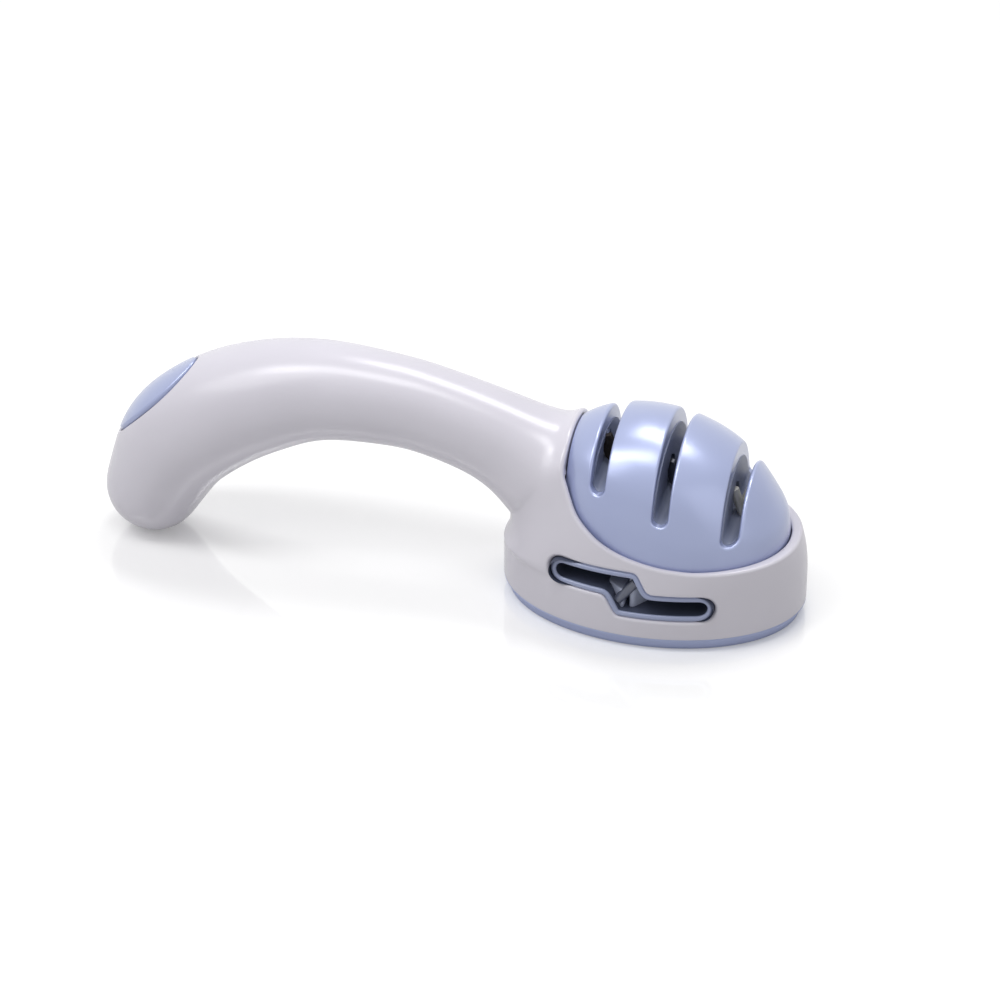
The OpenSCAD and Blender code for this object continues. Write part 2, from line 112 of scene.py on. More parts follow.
def softened(rows: np.ndarray, sigma: float, closed: bool = False) -> np.ndarray:
    """Rows blurred along their order, with open ends carried on in a straight line.

    Args:
        rows: Rows of numbers.
        sigma: Width of the blur, in rows.
        closed: Whether the last row runs on into the first.

    Returns:
        The blurred rows.
    """
    reach = int(math.ceil(3 * sigma))
    weights = np.exp(-0.5 * (np.arange(-reach, reach + 1) / sigma) ** 2)
    weights /= weights.sum()
    flat = rows.reshape(len(rows), -1)
    if closed:
        padded = flat[np.arange(-reach, len(flat) + reach) % len(flat)]
    else:
        k = np.arange(1, reach + 1)[:, None]
        head = flat[0] + (flat[0] - flat[1]) * k[::-1]
        tail = flat[-1] + (flat[-1] - flat[-2]) * k
        padded = np.vstack([head, flat, tail])
    out = sum(w * padded[j:j + len(flat)] for j, w in enumerate(weights))
    return out.reshape(rows.shape)


def bend(v: np.ndarray, e: np.ndarray | float) -> np.ndarray:
    """Cosine or sine of an angle, squared off for an oval with the power e."""
    return np.sign(v) * np.abs(v) ** (2 / e)


def walked(moves: np.ndarray) -> np.ndarray:
    """Distance from the first row to each row, out of the moves between them."""
    return np.concatenate([[0], np.cumsum(moves)])


def read_at(rows: np.ndarray, along: np.ndarray, at: np.ndarray) -> np.ndarray:
    """Rows read off at other distances, where along gives the distance of each row."""
    return np.stack([np.interp(at, along, rows[:, k]) for k in range(rows.shape[1])], axis=1)


def even_steps(line: np.ndarray, step: float, closed: bool = False) -> np.ndarray:
    """Points at even distances along a line.

    Args:
        line: Points of the line.
        step: Distance wanted between points.
        closed: Whether the line runs on from its last point to its first.

    Returns:
        The new points, without a repeat of the first.
    """
    pts = np.vstack([line, line[:1]]) if closed else line
    along = walked(np.linalg.norm(np.diff(pts, axis=0), axis=1))
    count = max(3, int(round(along[-1] / step)))
    out = read_at(pts, along, np.linspace(0, along[-1], count + 1))
    return out[:-1] if closed else out


def chords(loop: np.ndarray) -> np.ndarray:
    """Way from the point before to the point after, at each point of a closed loop."""
    return np.roll(loop, -1, axis=0) - np.roll(loop, 1, axis=0)


def left_of(ways: np.ndarray) -> np.ndarray:
    """Unit directions in the plane, a quarter turn to the left of others."""
    return unit(np.column_stack([-ways[:, 1], ways[:, 0]]))


def side_view(points: np.ndarray) -> np.ndarray:
    """Points in space as points of the side view."""
    return points[:, [0, 2]]


def flat_to_space(flat: np.ndarray) -> np.ndarray:
    """Points or directions of the side view in space."""
    return np.column_stack([flat[:, 0], np.zeros(len(flat)), flat[:, 1]])


def within(points: np.ndarray, low: Sequence[float], high: Sequence[float]) -> np.ndarray:
    """Which points lie inside the box between two corners."""
    return ((points > np.array(low)) & (points < np.array(high))).all(axis=1)


def circle(step: float) -> np.ndarray:
    """Angles once round in radians, out of a step in degrees."""
    return np.radians(np.arange(0, 360, step))


def quarter_turn(steps: int) -> list[float]:
    """Angles from nought to a quarter turn, in radians."""
    return [QUARTER * k / steps for k in range(steps + 1)]


def oval(turns: np.ndarray, a: float, b: float, x: float, z: float) -> np.ndarray:
    """Points of a level oval round x at the height z, of half sizes a along and b across."""
    return np.column_stack([x + a * np.cos(turns), b * np.sin(turns), np.full(len(turns), z)])


def oval_out(turns: np.ndarray, a: float, b: float) -> np.ndarray:
    """Unit directions out of a level oval at the given angles."""
    return unit(np.column_stack([np.cos(turns) / a, np.sin(turns) / b, np.zeros(len(turns))]))


def distance_to_line(points: np.ndarray, line: np.ndarray,
                     closed: bool) -> tuple[np.ndarray, np.ndarray]:
    """Signed distance from flat points to a line, positive on its left.

    Args:
        points: Points in the plane.
        line: Points of the line, close together.
        closed: Whether it closes.

    Returns:
        The distances, and the unit direction in which each one grows.
    """
    a = line if closed else line[:-1]
    ab = (np.roll(line, -1, axis=0) if closed else line[1:]) - a
    length2 = np.maximum((ab**2).sum(1), TINY)
    dist, grow = np.empty(len(points)), np.empty((len(points), 2))
    for lo in range(0, len(points), BATCH):
        ap = points[lo:lo + BATCH, None] - a[None]
        t = np.clip((ap * ab).sum(2) / length2, 0, 1)
        gap = ap - t[..., None] * ab[None]
        d2 = (gap**2).sum(2)
        k = d2.argmin(1)
        rows = np.arange(len(ap))
        away, d = gap[rows, k], np.sqrt(d2[rows, k])
        side = np.where(ab[k, 0] * away[:, 1] - ab[k, 1] * away[:, 0] < 0, -1.0, 1.0)
        toward = unit(away) * side[:, None]
        grow[lo:lo + BATCH] = np.where(d[:, None] > ON_LINE, toward, left_of(ab[k]))
        dist[lo:lo + BATCH] = d * side
    return dist, grow


def height_over(places: np.ndarray, heights: np.ndarray, wanted: np.ndarray,
                near: int = 10) -> np.ndarray:
    """Height of a scattered surface over flat places, from a level fitted to the nearest points.

    Args:
        places: Flat places of the surface's points.
        heights: Height of each of them.
        wanted: Flat places at which the height is wanted.
        near: Number of points in each fit.

    Returns:
        The heights wanted.
    """
    out = np.empty(len(wanted))
    for i, w in enumerate(wanted):
        d = places - w
        near_ones = np.argpartition((d**2).sum(1), near)[:near]
        m = np.column_stack([np.ones(near), d[near_ones]])
        out[i] = np.linalg.lstsq(m, heights[near_ones], rcond=None)[0][0]
    return out


# Meshes


class Place(Enum):
    """Body that a piece moves with."""

    HANDLE_SIDE = "body"
    MODULE_SIDE = "sharpening_module"


class Slot(Enum):
    """Material slot of the record that a piece belongs to."""

    SHELL = "shell_plastic"
    BLUE = "blue_plastic"
    BASE = "base_plastic"
    DARK = "dark_plastic"
    GUIDE = "guide_plastic"
    SOLE = "sole_rubber"
    SCREWS = "screw_steel"


@dataclass
class Skin:
    """A sheet of the model: points, the way that each one faces, and faces between them."""

    points: np.ndarray
    normals: np.ndarray
    faces: list[tuple[int, ...]]

    @classmethod
    def from_grid(cls, grid: np.ndarray, closed: bool = True,
                  outward: Callable[[np.ndarray], np.ndarray] | None = None) -> "Skin":
        """Sheet over a grid of points.

        Args:
            grid: Points in rows and columns.
            closed: Whether each row runs round to its start.
            outward: Gives a rough outward direction at each point, to turn the faces by.

        Returns:
            The sheet.
        """
        rows, cols = grid.shape[:2]
        i, j = np.meshgrid(np.arange(rows - 1), np.arange(cols if closed else cols - 1),
                           indexing="ij")
        k = (j + 1) % cols
        corners = [i * cols + j, i * cols + k, (i + 1) * cols + k, (i + 1) * cols + j]
        quads = np.stack(corners, axis=-1).reshape(-1, 4)
        points = grid.reshape(-1, 3)
        normals = cls.facing(points, quads)
        if outward is not None and float((normals * outward(points)).sum()) < 0:
            quads, normals = quads[:, ::-1], -normals
        return cls(points, normals, [tuple(q) for q in quads.tolist()])

    @staticmethod
    def facing(points: np.ndarray, quads: np.ndarray) -> np.ndarray:
        """Unit normals at points from the four-sided faces round them.

        Args:
            points: The points.
            quads: Numbers of the four points of each face.

        Returns:
            One normal for each point.
        """
        a, b, c, d = (points[quads[:, n]] for n in range(4))
        flat = np.cross(c - a, d - b)
        out = np.zeros_like(points)
        for n in range(4):
            np.add.at(out, quads[:, n], flat)
        return unit(out)

    @classmethod
    def from_rings(cls, rings: Sequence[Ring], closed: bool = True) -> "Skin":
        """Sheet between rings of points whose normals are known.

        Args:
            rings: Points and normals of each ring, all of one length.
            closed: Whether each ring closes.

        Returns:
            The sheet, with its faces turned to agree with the normals.
        """
        sheet = cls.from_grid(np.stack([points for points, _ in rings]), closed)
        given = np.stack([normals for _, normals in rings]).reshape(-1, 3)
        if float((sheet.normals * given).sum()) < 0:
            sheet.faces = [f[::-1] for f in sheet.faces]
        sheet.normals = unit(given)
        return sheet

    @classmethod
    def from_face(cls, ring: np.ndarray, normal: Sequence[float]) -> "Skin":
        """Flat face inside one ring of points.

        Args:
            ring: The points.
            normal: Way that the face has to face.

        Returns:
            A sheet of that one face.
        """
        n = np.asarray(normal, float)
        area = np.cross(ring, np.roll(ring, -1, axis=0)).sum(0)
        face = tuple(range(len(ring)))
        return cls(ring.copy(), np.tile(unit(n), (len(ring), 1)),
                   [face if float(area @ n) > 0 else face[::-1]])

    def cut(self, value: np.ndarray) -> tuple["Skin", list[list[int]]]:
        """Takes away the part of the sheet where value is above zero.

        Args:
            value: One number for each point.

        Returns:
            The rest of the sheet, and the loops of its points that lie on the cut.
        """
        v = value.astype(float).copy()
        points, normals = self.points.copy(), self.normals.copy()
        positive = (v > 0).tolist()
        # Points close to the cut slide onto it, each along the edge that it is closest on
        move: dict[int, tuple[float, int]] = {}
        for f in self.faces:
            if len({positive[k] for k in f}) < 2:
                continue
            for a, b in zip(f, f[1:] + f[:1]):
                if positive[a] != positive[b]:
                    t = float(v[a] / (v[a] - v[b]))
                    for end, other, share in ((a, b, t), (b, a, 1 - t)):
                        if share < min(SNAP_SHARE, move.get(end, (math.inf, 0))[0]):
                            move[end] = (share, other)
        for a, (t, b) in move.items():
            points[a] = self.points[a] + (self.points[b] - self.points[a]) * t
            normals[a] = unit(self.normals[a] + (self.normals[b] - self.normals[a]) * t)
            v[a] = 0
        # Faces that cross the cut are clipped, and share the new points on their edges
        state = np.sign(v).astype(int).tolist()
        crossings: dict[tuple[int, int], int] = {}
        extra_points: list[np.ndarray] = []
        extra_normals: list[np.ndarray] = []
        kept: list[tuple[int, ...]] = []
        for f in self.faces:
            s = [state[k] for k in f]
            if min(s) >= 0:
                continue
            if max(s) <= 0:
                kept.append(f)
                continue
            ring: list[int] = []
            for k, a in enumerate(f):
                b = f[(k + 1) % len(f)]
                if s[k] <= 0:
                    ring.append(a)
                if s[k] * s[(k + 1) % len(f)] < 0:
                    key = (min(a, b), max(a, b))
                    if key not in crossings:
                        lo, hi = key
                        t = float(v[lo] / (v[lo] - v[hi]))
                        crossings[key] = len(points) + len(extra_points)
                        extra_points.append(points[lo] + (points[hi] - points[lo]) * t)
                        way = normals[lo] + (normals[hi] - normals[lo]) * t
                        extra_normals.append(unit(way))
                    ring.append(crossings[key])
            if len(ring) > 2:
                kept.append(tuple(ring))
        if extra_points:
            points = np.vstack([points, extra_points])
            normals = np.vstack([normals, extra_normals])
        # Edges on the cut that one face alone has are followed round into loops
        on_cut = {k for k, x in enumerate(state) if x == 0} | set(crossings.values())
        steps = {(a, b) for f in kept for a, b in zip(f, f[1:] + f[:1])
                 if a in on_cut and b in on_cut}
        ahead = {a: b for a, b in steps if (b, a) not in steps}
        loops: list[list[int]] = []
        while ahead:
            start, here = ahead.popitem()
            loop = [start]
            while here != start and here in ahead:
                loop.append(here)
                here = ahead.pop(here)
            if len(loop) > SLIVER:
                loops.append(loop)
        return Skin(points, normals, kept), loops

    def opened(self, value: np.ndarray) -> tuple["Skin", np.ndarray, np.ndarray]:
        """Takes away the part of the sheet where value is above zero.

        Args:
            value: One number for each point.

        Returns:
            The rest of the sheet, and the points and normals of the cut's longest loop.
        """
        rest, loops = self.cut(value)
        loop = max(loops, key=len)
        return rest, rest.points[loop], rest.normals[loop]


@dataclass(frozen=True)
class RolledEdge:
    """Rounded edge between a sheet and a wall cut into it, then the wall and its far edge."""

    radius: float
    far_radius: float = 0.0
    steps: int = 6

    def trim(self, distance: np.ndarray, normals: np.ndarray, into: np.ndarray) -> np.ndarray:
        """Value to cut a sheet by, from distances past the wall, for a tangent rounding."""
        return distance + self.radius * (1 - (normals * into).sum(1))

    def rings(self, start: np.ndarray, normals: np.ndarray, into: np.ndarray,
              run: np.ndarray | float, after: np.ndarray | float = 0.0) -> list[Ring]:
        """Rings of the rounding, the wall and its far rounding.

        Args:
            start: Points of the trimmed edge.
            normals: Way that the sheet faces at them.
            into: Way that the wall faces at them.
            run: Width of the wall from one rounding to the next.
            after: How far the sheet goes on past the far rounding.

        Returns:
            Rings of points and normals, from the sheet on.
        """
        run, after = (np.broadcast_to(np.asarray(v, float), (len(start),))[:, None]
                      for v in (run, after))
        centre = start - self.radius * normals
        cos = np.clip((normals * into).sum(1), -0.999, 0.999)
        turn = np.arccos(cos)[:, None]
        out: list[Ring] = []
        for k in range(self.steps + 1):
            t = k / self.steps
            n = unit((np.sin((1 - t) * turn) * normals + np.sin(t * turn) * into) / np.sin(turn))
            out.append((start if k == 0 else centre + self.radius * n, n))
        down = unit(-(normals - cos[:, None] * into))
        end = centre + self.radius * into + run * down
        out.append((end, into))
        if self.far_radius:
            inner = end - self.far_radius * into
            for t in quarter_turn(self.steps)[1:]:
                n = unit(math.cos(t) * into + math.sin(t) * down)
                out.append((inner + self.far_radius * n, n))
            if float(after.max()) > 0:
                out.append((inner + self.far_radius * down - after * into, down))
        return out

    def sheet(self, start: np.ndarray, normals: np.ndarray, into: np.ndarray,
              run: np.ndarray | float, after: np.ndarray | float = 0.0) -> Skin:
        """Sheet over the rings of a closed edge, with the arguments of rings."""
        return Skin.from_rings(self.rings(start, normals, into, run, after))


def merged(sheets: Sequence[Skin]) -> Skin:
    """One sheet out of several, without points that no face uses.

    Args:
        sheets: The sheets.

    Returns:
        The one sheet.
    """
    points = np.vstack([s.points for s in sheets])
    normals = np.vstack([s.normals for s in sheets])
    faces: list[tuple[int, ...]] = []
    base = 0
    for s in sheets:
        faces += [tuple(k + base for k in f) for f in s.faces]
        base += len(s.points)
    used = np.zeros(len(points), bool)
    used[np.fromiter((k for f in faces for k in f), int)] = True
    names = (np.cumsum(used) - 1).tolist()
    return Skin(points[used], normals[used], [tuple(names[k] for k in f) for f in faces])


def add_piece(name: str, sheets: Sequence[Skin], finish: "Finish", material_slot: Slot,
              stands_for: Sequence[str] = (), place: Place = Place.HANDLE_SIDE) -> None:
    """Makes one piece of the model.

    Args:
        name: Name of the piece.
        sheets: Its sheets, in millimetres.
        finish: What it is made of.
        material_slot: Material slot of the record that it belongs to; not used.
        stands_for: Solids that it is shown in place of.
        place: Body that it moves with.
    """
    skin = merged(sheets)
    mesh = bpy.data.meshes.new(name)
    mesh.from_pydata((skin.points * MM).tolist(), [], skin.faces)
    mesh.polygons.foreach_set("use_smooth", np.ones(len(mesh.polygons), bool))
    mesh.update()
    mesh.normals_split_custom_set_from_vertices(skin.normals.tolist())
    piece = bpy.data.objects.new(name, mesh)
    bpy.context.scene.collection.objects.link(piece)
    mesh.materials.append(finish.material())
    body, slot = place.value, material_slot.value
    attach(piece, body)
    if stands_for:
        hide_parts(*stands_for)
    log.info("%s: %d points, rides on %s", name, len(skin.points), body)


def dress_solid(frame: dict[str, Any], node: str, finish: "Finish") -> None:
    """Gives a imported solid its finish.

    Args:
        frame: What the frame was loaded as.
        node: Name of the solid.
        finish: What it is made of.
    """
    mesh = frame["nodes"][node].data
    mesh.materials.clear()
    mesh.materials.append(finish.material())
    log.info("%s: dressed as %s", node, finish.name)


# Finishes


def linear(colour: str) -> tuple[float, float, float, float]:
    """Turns an sRGB hex colour to linear.

    Args:
        colour: The colour, with its leading hash sign.

    Returns:
        Linear red, green, blue and alpha.
    """
    parts = [int(colour[k:k + 2], 16) / 255 for k in (1, 3, 5)]
    r, g, b = (c / 12.92 if c <= 0.04045 else ((c + 0.055) / 1.055) ** 2.4 for c in parts)
    return r, g, b, 1.0


def add_node(tree: bpy.types.NodeTree, kind: str, settings: dict[str, Any] | None = None,
             links: dict[str, bpy.types.NodeSocket] | None = None) -> bpy.types.Node:
    """Adds one node to a tree.

    Args:
        tree: Tree that it goes into.
        kind: Its type name.
        settings: Values of its properties and of its input sockets, by name.
        links: Sockets that feed its inputs, by name.

    Returns:
        The node.
    """
    node = tree.nodes.new(kind)
    for key, value in (settings or {}).items():
        if hasattr(node, key) and key not in node.inputs:
            setattr(node, key, value)
        else:
            node.inputs[key].default_value = value
    for key, socket in (links or {}).items():
        tree.links.new(socket, node.inputs[key])
    return node


def cleared_tree(owner: bpy.types.Material | bpy.types.World) -> bpy.types.NodeTree:
    """Empties a node tree.

    Args:
        owner: Material or world that the tree belongs to.

    Returns:
        The empty tree.
    """
    owner.use_nodes = True
    owner.node_tree.nodes.clear()
    return owner.node_tree


@dataclass(frozen=True)
class Finish:
    """What a surface is made of and how it was made."""

    name: str
    colour: str
    second: str
    roughness: float
    metallic: float = 0.0
    ior: float = 1.5
    coat: float = 0.0
    coat_roughness: float = 0.1
    specular: float = 0.5
    # Spacing of the fine grain of the surface, and how deep it is
    grain_mm: float = 0.8
    grain_depth_mm: float = 0.004
    # How far the grain moves the roughness to either side
    roughness_spread: float = 0.02
    # Spacing of the slow drift between the two colours, and where in the noise each one is full
    drift_mm: float = 30.0
    drift_ends: tuple[float, float] = (0.35, 0.65)
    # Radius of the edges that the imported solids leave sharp, where it is drawn in the shading
    edge_mm: float = 0.0

    def material(self) -> bpy.types.Material:
        """The finish's material, made once.

        Returns:
            The material.
        """
        known = bpy.data.materials.get(self.name)
        if known:
            return known
        material = bpy.data.materials.new(self.name)
        tree = cleared_tree(material)
        place = add_node(tree, "ShaderNodeTexCoord").outputs["Object"]
        drift, grain = (
            add_node(tree, "ShaderNodeTexNoise", {"Scale": 1 / (spacing * MM), "Detail": detail},
                     {"Vector": place}).outputs["Fac"]
            for spacing, detail in ((self.drift_mm, 2.0), (self.grain_mm, 3.0)))
        ramp = add_node(tree, "ShaderNodeValToRGB", {}, {"Fac": drift})
        for stop, position, colour in zip(ramp.color_ramp.elements, self.drift_ends,
                                          (self.colour, self.second)):
            stop.position, stop.color = position, linear(colour)
        spread = add_node(tree, "ShaderNodeMapRange", {
            "To Min": self.roughness - self.roughness_spread,
            "To Max": self.roughness + self.roughness_spread}, {"Value": grain})
        bump = add_node(tree, "ShaderNodeBump", {
            "Strength": 0.5, "Distance": self.grain_depth_mm * MM}, {"Height": grain})
        if self.edge_mm:
            edge = add_node(tree, "ShaderNodeBevel", {"samples": 6, "Radius": self.edge_mm * MM})
            tree.links.new(edge.outputs["Normal"], bump.inputs["Normal"])
        shader = add_node(tree, "ShaderNodeBsdfPrincipled", {
            "Metallic": self.metallic, "IOR": self.ior, "Coat Weight": self.coat,
            "Coat Roughness": self.coat_roughness, "Specular IOR Level": self.specular,
        }, {"Base Color": ramp.outputs["Color"], "Roughness": spread.outputs["Result"],
            "Normal": bump.outputs["Normal"]})
        add_node(tree, "ShaderNodeOutputMaterial", {}, {"Surface": shader.outputs["BSDF"]})
        return material


# ABS moulded in a satin tool: smooth and softly shiny, pale grey with a breath of lilac
SHELL_ABS = Finish("satin_moulded_abs", "#dbd8e2", "#d8d5df", roughness=0.23, ior=1.52,
                   specular=0.55, grain_mm=0.6, grain_depth_mm=0.0012)
# ABS with fine mica moulded in: blue with a broad silky sheen and no sharp reflections
PEARL_ABS = Finish("pearl_blue_abs", "#a7b1d6", "#a4aed4", roughness=0.3, metallic=0.3,
                   coat=0.8, coat_roughness=0.22, grain_mm=0.35, grain_depth_mm=0.002)
# Thermoplastic elastomer moulded round the base: dull blue that takes no reflection
SOLE_ELASTOMER = Finish("blue_elastomer", "#b4bee3", "#b0badf", roughness=0.6, grain_mm=0.5,
                        grain_depth_mm=0.01)
# Glass-filled nylon: middling slate with a low, even shine, painted lighter than its own tone as
# painted light, for the light that the narrow knife slots keep out
CORE_NYLON_PAINTED_LIGHT = Finish("slate_nylon_painted_light", "#868da4", "#81889f", roughness=0.42, grain_mm=0.5,
                    grain_depth_mm=0.006, edge_mm=0.25)
# The same nylon in a darker slate, partly its own dark tone and partly painted shade of the deep
# of the scissor slot, where it looks nearly black
TRAY_NYLON_PAINTED_SHADE = Finish("tray_nylon_painted_shade", "#4a5064", "#464c60", roughness=0.45, grain_mm=0.5,
                      grain_depth_mm=0.006)
# Nylon moulded in a smooth tool for the rim of the scissor slot: dusty blue, a little shiny
RIM_NYLON = Finish("dusty_blue_nylon", "#9ba4c4", "#97a0c0", roughness=0.3, coat=0.35,
                   grain_mm=0.5)
# Nylon of the guide block: pale grey blue, lighter than its own dark slate as painted light, so
# that its facets show in the slot's shade
GUIDE_NYLON_PAINTED_LIGHT = Finish("grey_blue_nylon_painted_light", "#c0c7de", "#bcc3da", roughness=0.4, grain_mm=0.5)
# Polypropylene as moulded, inside the head and under it: plain grey with little shine
INSIDE_PP = Finish("inner_polypropylene", "#bdbac3", "#b8b5be", roughness=0.5, grain_mm=0.7)
# Zinc-plated steel of the small screws: grey metal with a low shine
SCREW_STEEL = Finish("zinc_plated_steel", "#a9abb0", "#a2a4aa", roughness=0.35, metallic=1.0,
                     grain_mm=0.3)
# Ground tungsten carbide: dark metal with fine grinding marks
CARBIDE = Finish("ground_carbide", "#7b7e86", "#72757d", roughness=0.28, metallic=1.0,
                 grain_mm=0.15)
# Steel plates with diamond grit bonded on: black brown and rough, the grit drawn coarse to show
DIAMOND_PLATE = Finish("bonded_diamond_plate", "#3d3733", "#2f2a28", roughness=0.7,
                       metallic=0.4, grain_mm=0.25, grain_depth_mm=0.06, drift_mm=1.0)
# Fired ceramic of the scissor rod: slate grey, close and smooth
DARK_CERAMIC = Finish("slate_ceramic", "#5d6274", "#585d6f", roughness=0.3, ior=1.7,
                      grain_mm=0.2)
# Fired alumina of the fine rods: warm white, dull as bisque
ALUMINA = Finish("fired_alumina", "#e9e8e2", "#e4e3dc", roughness=0.45, ior=1.7, grain_mm=0.2)


# The housing


@dataclass
class BodyForm:
    """Outer form of the handle and head: ovals along the handle, fanned out into the head."""

    length: float = 226.4
    width: float = 65.0
    height: float = 73.3
    head_l: float = 95.2
    grip_r: float = 15.3
    foot_r: float = 15.7
    # How far the throat, where the handle ends and the fan begins, lies past the head's rear wall
    throat_in: float = 11.0
    # Distance from the inside of the throat to the line that the fan's ovals turn about
    hinge_gap: float = 10.2
    # Height of the head's lower edge, over the sole
    low: float = 4.6
    # Stations of the handle: share of the run from foot to throat, of the height and of the grip
    handle_shares: tuple[tuple[float, float, float], ...] = (
        (0.066, 0.692, 1.205), (0.165, 0.852, 1.225), (0.295, 0.955, 1.157), (0.452, 1, 1.026),
        (0.645, 0.973, 0.928), (0.758, 0.932, 0.908), (0.866, 0.881, 0.937), (0.94, 0.842, 1.02),
        (1, 0.818, 1.18))
    # Ovals of the fan: share of the lean, of the reach to the rear wall and to the front, of the
    # width, and the oval's power
    fan_shares: tuple[tuple[float, float, float, float, float], ...] = (
        (0.95, 0.1, 0.53, 0.562, 2), (0.9, 0.2, 0.582, 0.588, 2.02),
        (0.82, 0.34, 0.62, 0.625, 2.05), (0.74, 0.46, 0.66, 0.665, 2.08),
        (0.65, 0.57, 0.71, 0.72, 2.1), (0.55, 0.67, 0.775, 0.785, 2.12),
        (0.45, 0.76, 0.845, 0.85, 2.14), (0.35, 0.84, 0.9, 0.905, 2.16),
        (0.26, 0.9, 0.937, 0.942, 2.18), (0.18, 0.94, 0.962, 0.966, 2.2),
        (0.1, 0.97, 0.982, 0.986, 2.16), (0.05, 0.99, 0.993, 0.996, 2.08), (0, 1, 1, 1, 2))
    # Stations of the handle at which its cover is screwed on, and how deep the heads are sunk
    screw_stations: tuple[float, ...] = (3.0, 4.5, 6.5)
    screw_sunk: float = 0.6
    # Points of each oval, the distance between ovals, and the length over which they are blurred
    columns: int = 320
    step: float = 0.8
    blur: float = 3.2

    @property
    def rear_x(self) -> float:
        """Rear wall of the head."""
        return self.length / 2 - self.head_l

    @property
    def head_x(self) -> float:
        """Middle of the head."""
        return (self.length - self.head_l) / 2

    def stations(self) -> np.ndarray:
        """Stations along the handle, from the foot to the throat.

        Returns:
            Place, height and radius of each.
        """
        foot = np.array([-self.length / 2 + self.foot_r, self.foot_r, self.foot_r])
        run = self.rear_x + self.throat_in - foot[0]
        return np.array([foot, *([foot[0] + s * run, t * self.height - r * self.grip_r,
                                  r * self.grip_r] for s, t, r in self.handle_shares)])

    def spine(self, u: np.ndarray) -> tuple[np.ndarray, np.ndarray]:
        """Rows of the handle's spine and the slope there in degrees.

        Args:
            u: Places along the spine, in stations.

        Returns:
            Place, height and radius, and the slope.
        """
        rows = self.stations()
        a, b = (catmull(rows, np.clip(u + d, 0, len(rows) - 1)) for d in (-0.5, 0.5))
        return catmull(rows, u), np.degrees(np.arctan2(b[:, 1] - a[:, 1], b[:, 0] - a[:, 0]))

    def spine_frame(self, station: float) -> tuple[np.ndarray, float, np.ndarray, np.ndarray]:
        """The handle at one station.

        Args:
            station: Place along the spine, in stations.

        Returns:
            Its middle, its radius, the way along it and the way up out of it.
        """
        here, slope = self.spine(np.array([station]))
        t = math.radians(slope[0])
        along = np.array([math.cos(t), 0, math.sin(t)])
        return flat_to_space(here)[0], here[0, 2], along, np.array([-along[2], 0, along[0]])

    def screw_feet(self) -> list[Ring]:
        """Middle of each head's face and way of the shank, for the screws of the cover."""
        frames = (self.spine_frame(station) for station in self.screw_stations)
        return [(middle - up * (radius - self.screw_sunk), up) for middle, radius, _, up in frames]

    def ball_rows(self, foot: np.ndarray, lean: float) -> np.ndarray:
        """Rows of the round end of the handle.

        Args:
            foot: Place, height and radius where the ball meets the handle.
            lean: Lean of the ovals there, in degrees.

        Returns:
            Rows as ring_rows gives them, from the tip on.
        """
        rows = []
        for turn in np.radians(np.arange(90, 0, -4.5)):
            past, radius = self.foot_r * math.sin(turn), self.foot_r * math.cos(turn)
            rows.append([foot[0] - past * math.sin(math.radians(lean)),
                         foot[1] + past * math.cos(math.radians(lean)), lean, radius, radius, 2])
        return np.array(rows)

    def fan_rows(self, throat: np.ndarray, lean: float) -> np.ndarray:
        """Rows of the fan, which turns from the handle's throat down into the upright head.

        Args:
            throat: Place, height and radius where the handle ends.
            lean: Lean of the ovals there, in degrees.

        Returns:
            Rows as ring_rows gives them.
        """
        way = np.array([math.cos(math.radians(lean)), math.sin(math.radians(lean))])
        hinge = throat[:2] - (throat[2] + self.hinge_gap) * way
        near_r, far_r = self.rear_x - hinge[0], self.length / 2 - hinge[0]
        first = (1, 0, (self.hinge_gap + 2 * throat[2]) / far_r, throat[2] / (self.width / 2), 2)
        shares = np.array([first, *self.fan_shares])
        fan = catmull(shares, places_between(shares, 12))[1:]
        low = self.hinge_gap + (near_r - self.hinge_gap) * fan[:, 1]
        high = fan[:, 2] * far_r
        mid = (low + high) / 2
        leans = fan[:, 0] * lean
        turn = np.radians(leans)
        return np.column_stack([hinge[0] + mid * np.cos(turn), hinge[1] + mid * np.sin(turn),
                                leans, (high - low) / 2, fan[:, 3] * self.width / 2, fan[:, 4]])

    def ring_rows(self) -> np.ndarray:
        """Every oval of the form, evenly spaced from the foot to the base.

        Returns:
            Centre in two numbers, lean in degrees, two half sizes and power of each.
        """
        stations = self.stations()
        here, slope = self.spine(places_between(stations, 16))
        ball = self.ball_rows(here[0], slope[0] + 90)
        handle = np.column_stack([here[:, 0], here[:, 1], slope + 90, here[:, 2], here[:, 2],
                                  np.full(len(here), 2.0)])
        fan = self.fan_rows(stations[-1], slope[-1] + 90)
        base = np.array([[self.head_x, self.low, 0, self.head_l / 2, self.width / 2, 2]])
        down = np.linspace(0, 1, 12)[1:, None]
        rows = np.vstack([ball, handle, fan, fan[-1:] * (1 - down) + base * down])
        return self.eased(rows, len(ball))

    def eased(self, rows: np.ndarray, ball: int) -> np.ndarray:
        """Rows at even steps, blurred a little past the ball of the foot.

        Args:
            rows: Rows as ring_rows gives them, unevenly spaced.
            ball: How many of them make the ball.

        Returns:
            The new rows.
        """
        edges = self.ring_points(rows, np.array([0.0, 90.0, 180.0]))
        along = walked(np.linalg.norm(np.diff(edges, axis=0), axis=2).max(1))
        at = np.linspace(0, along[-1], int(along[-1] / self.step))
        even = read_at(rows, along, at)
        soft = softened(even, self.blur / self.step)
        half = along[ball // 2]
        share = np.clip((at - half) / (along[ball] - half), 0, 1)[:, None]
        share = share * share * (3 - 2 * share)
        return even * (1 - share) + soft * share

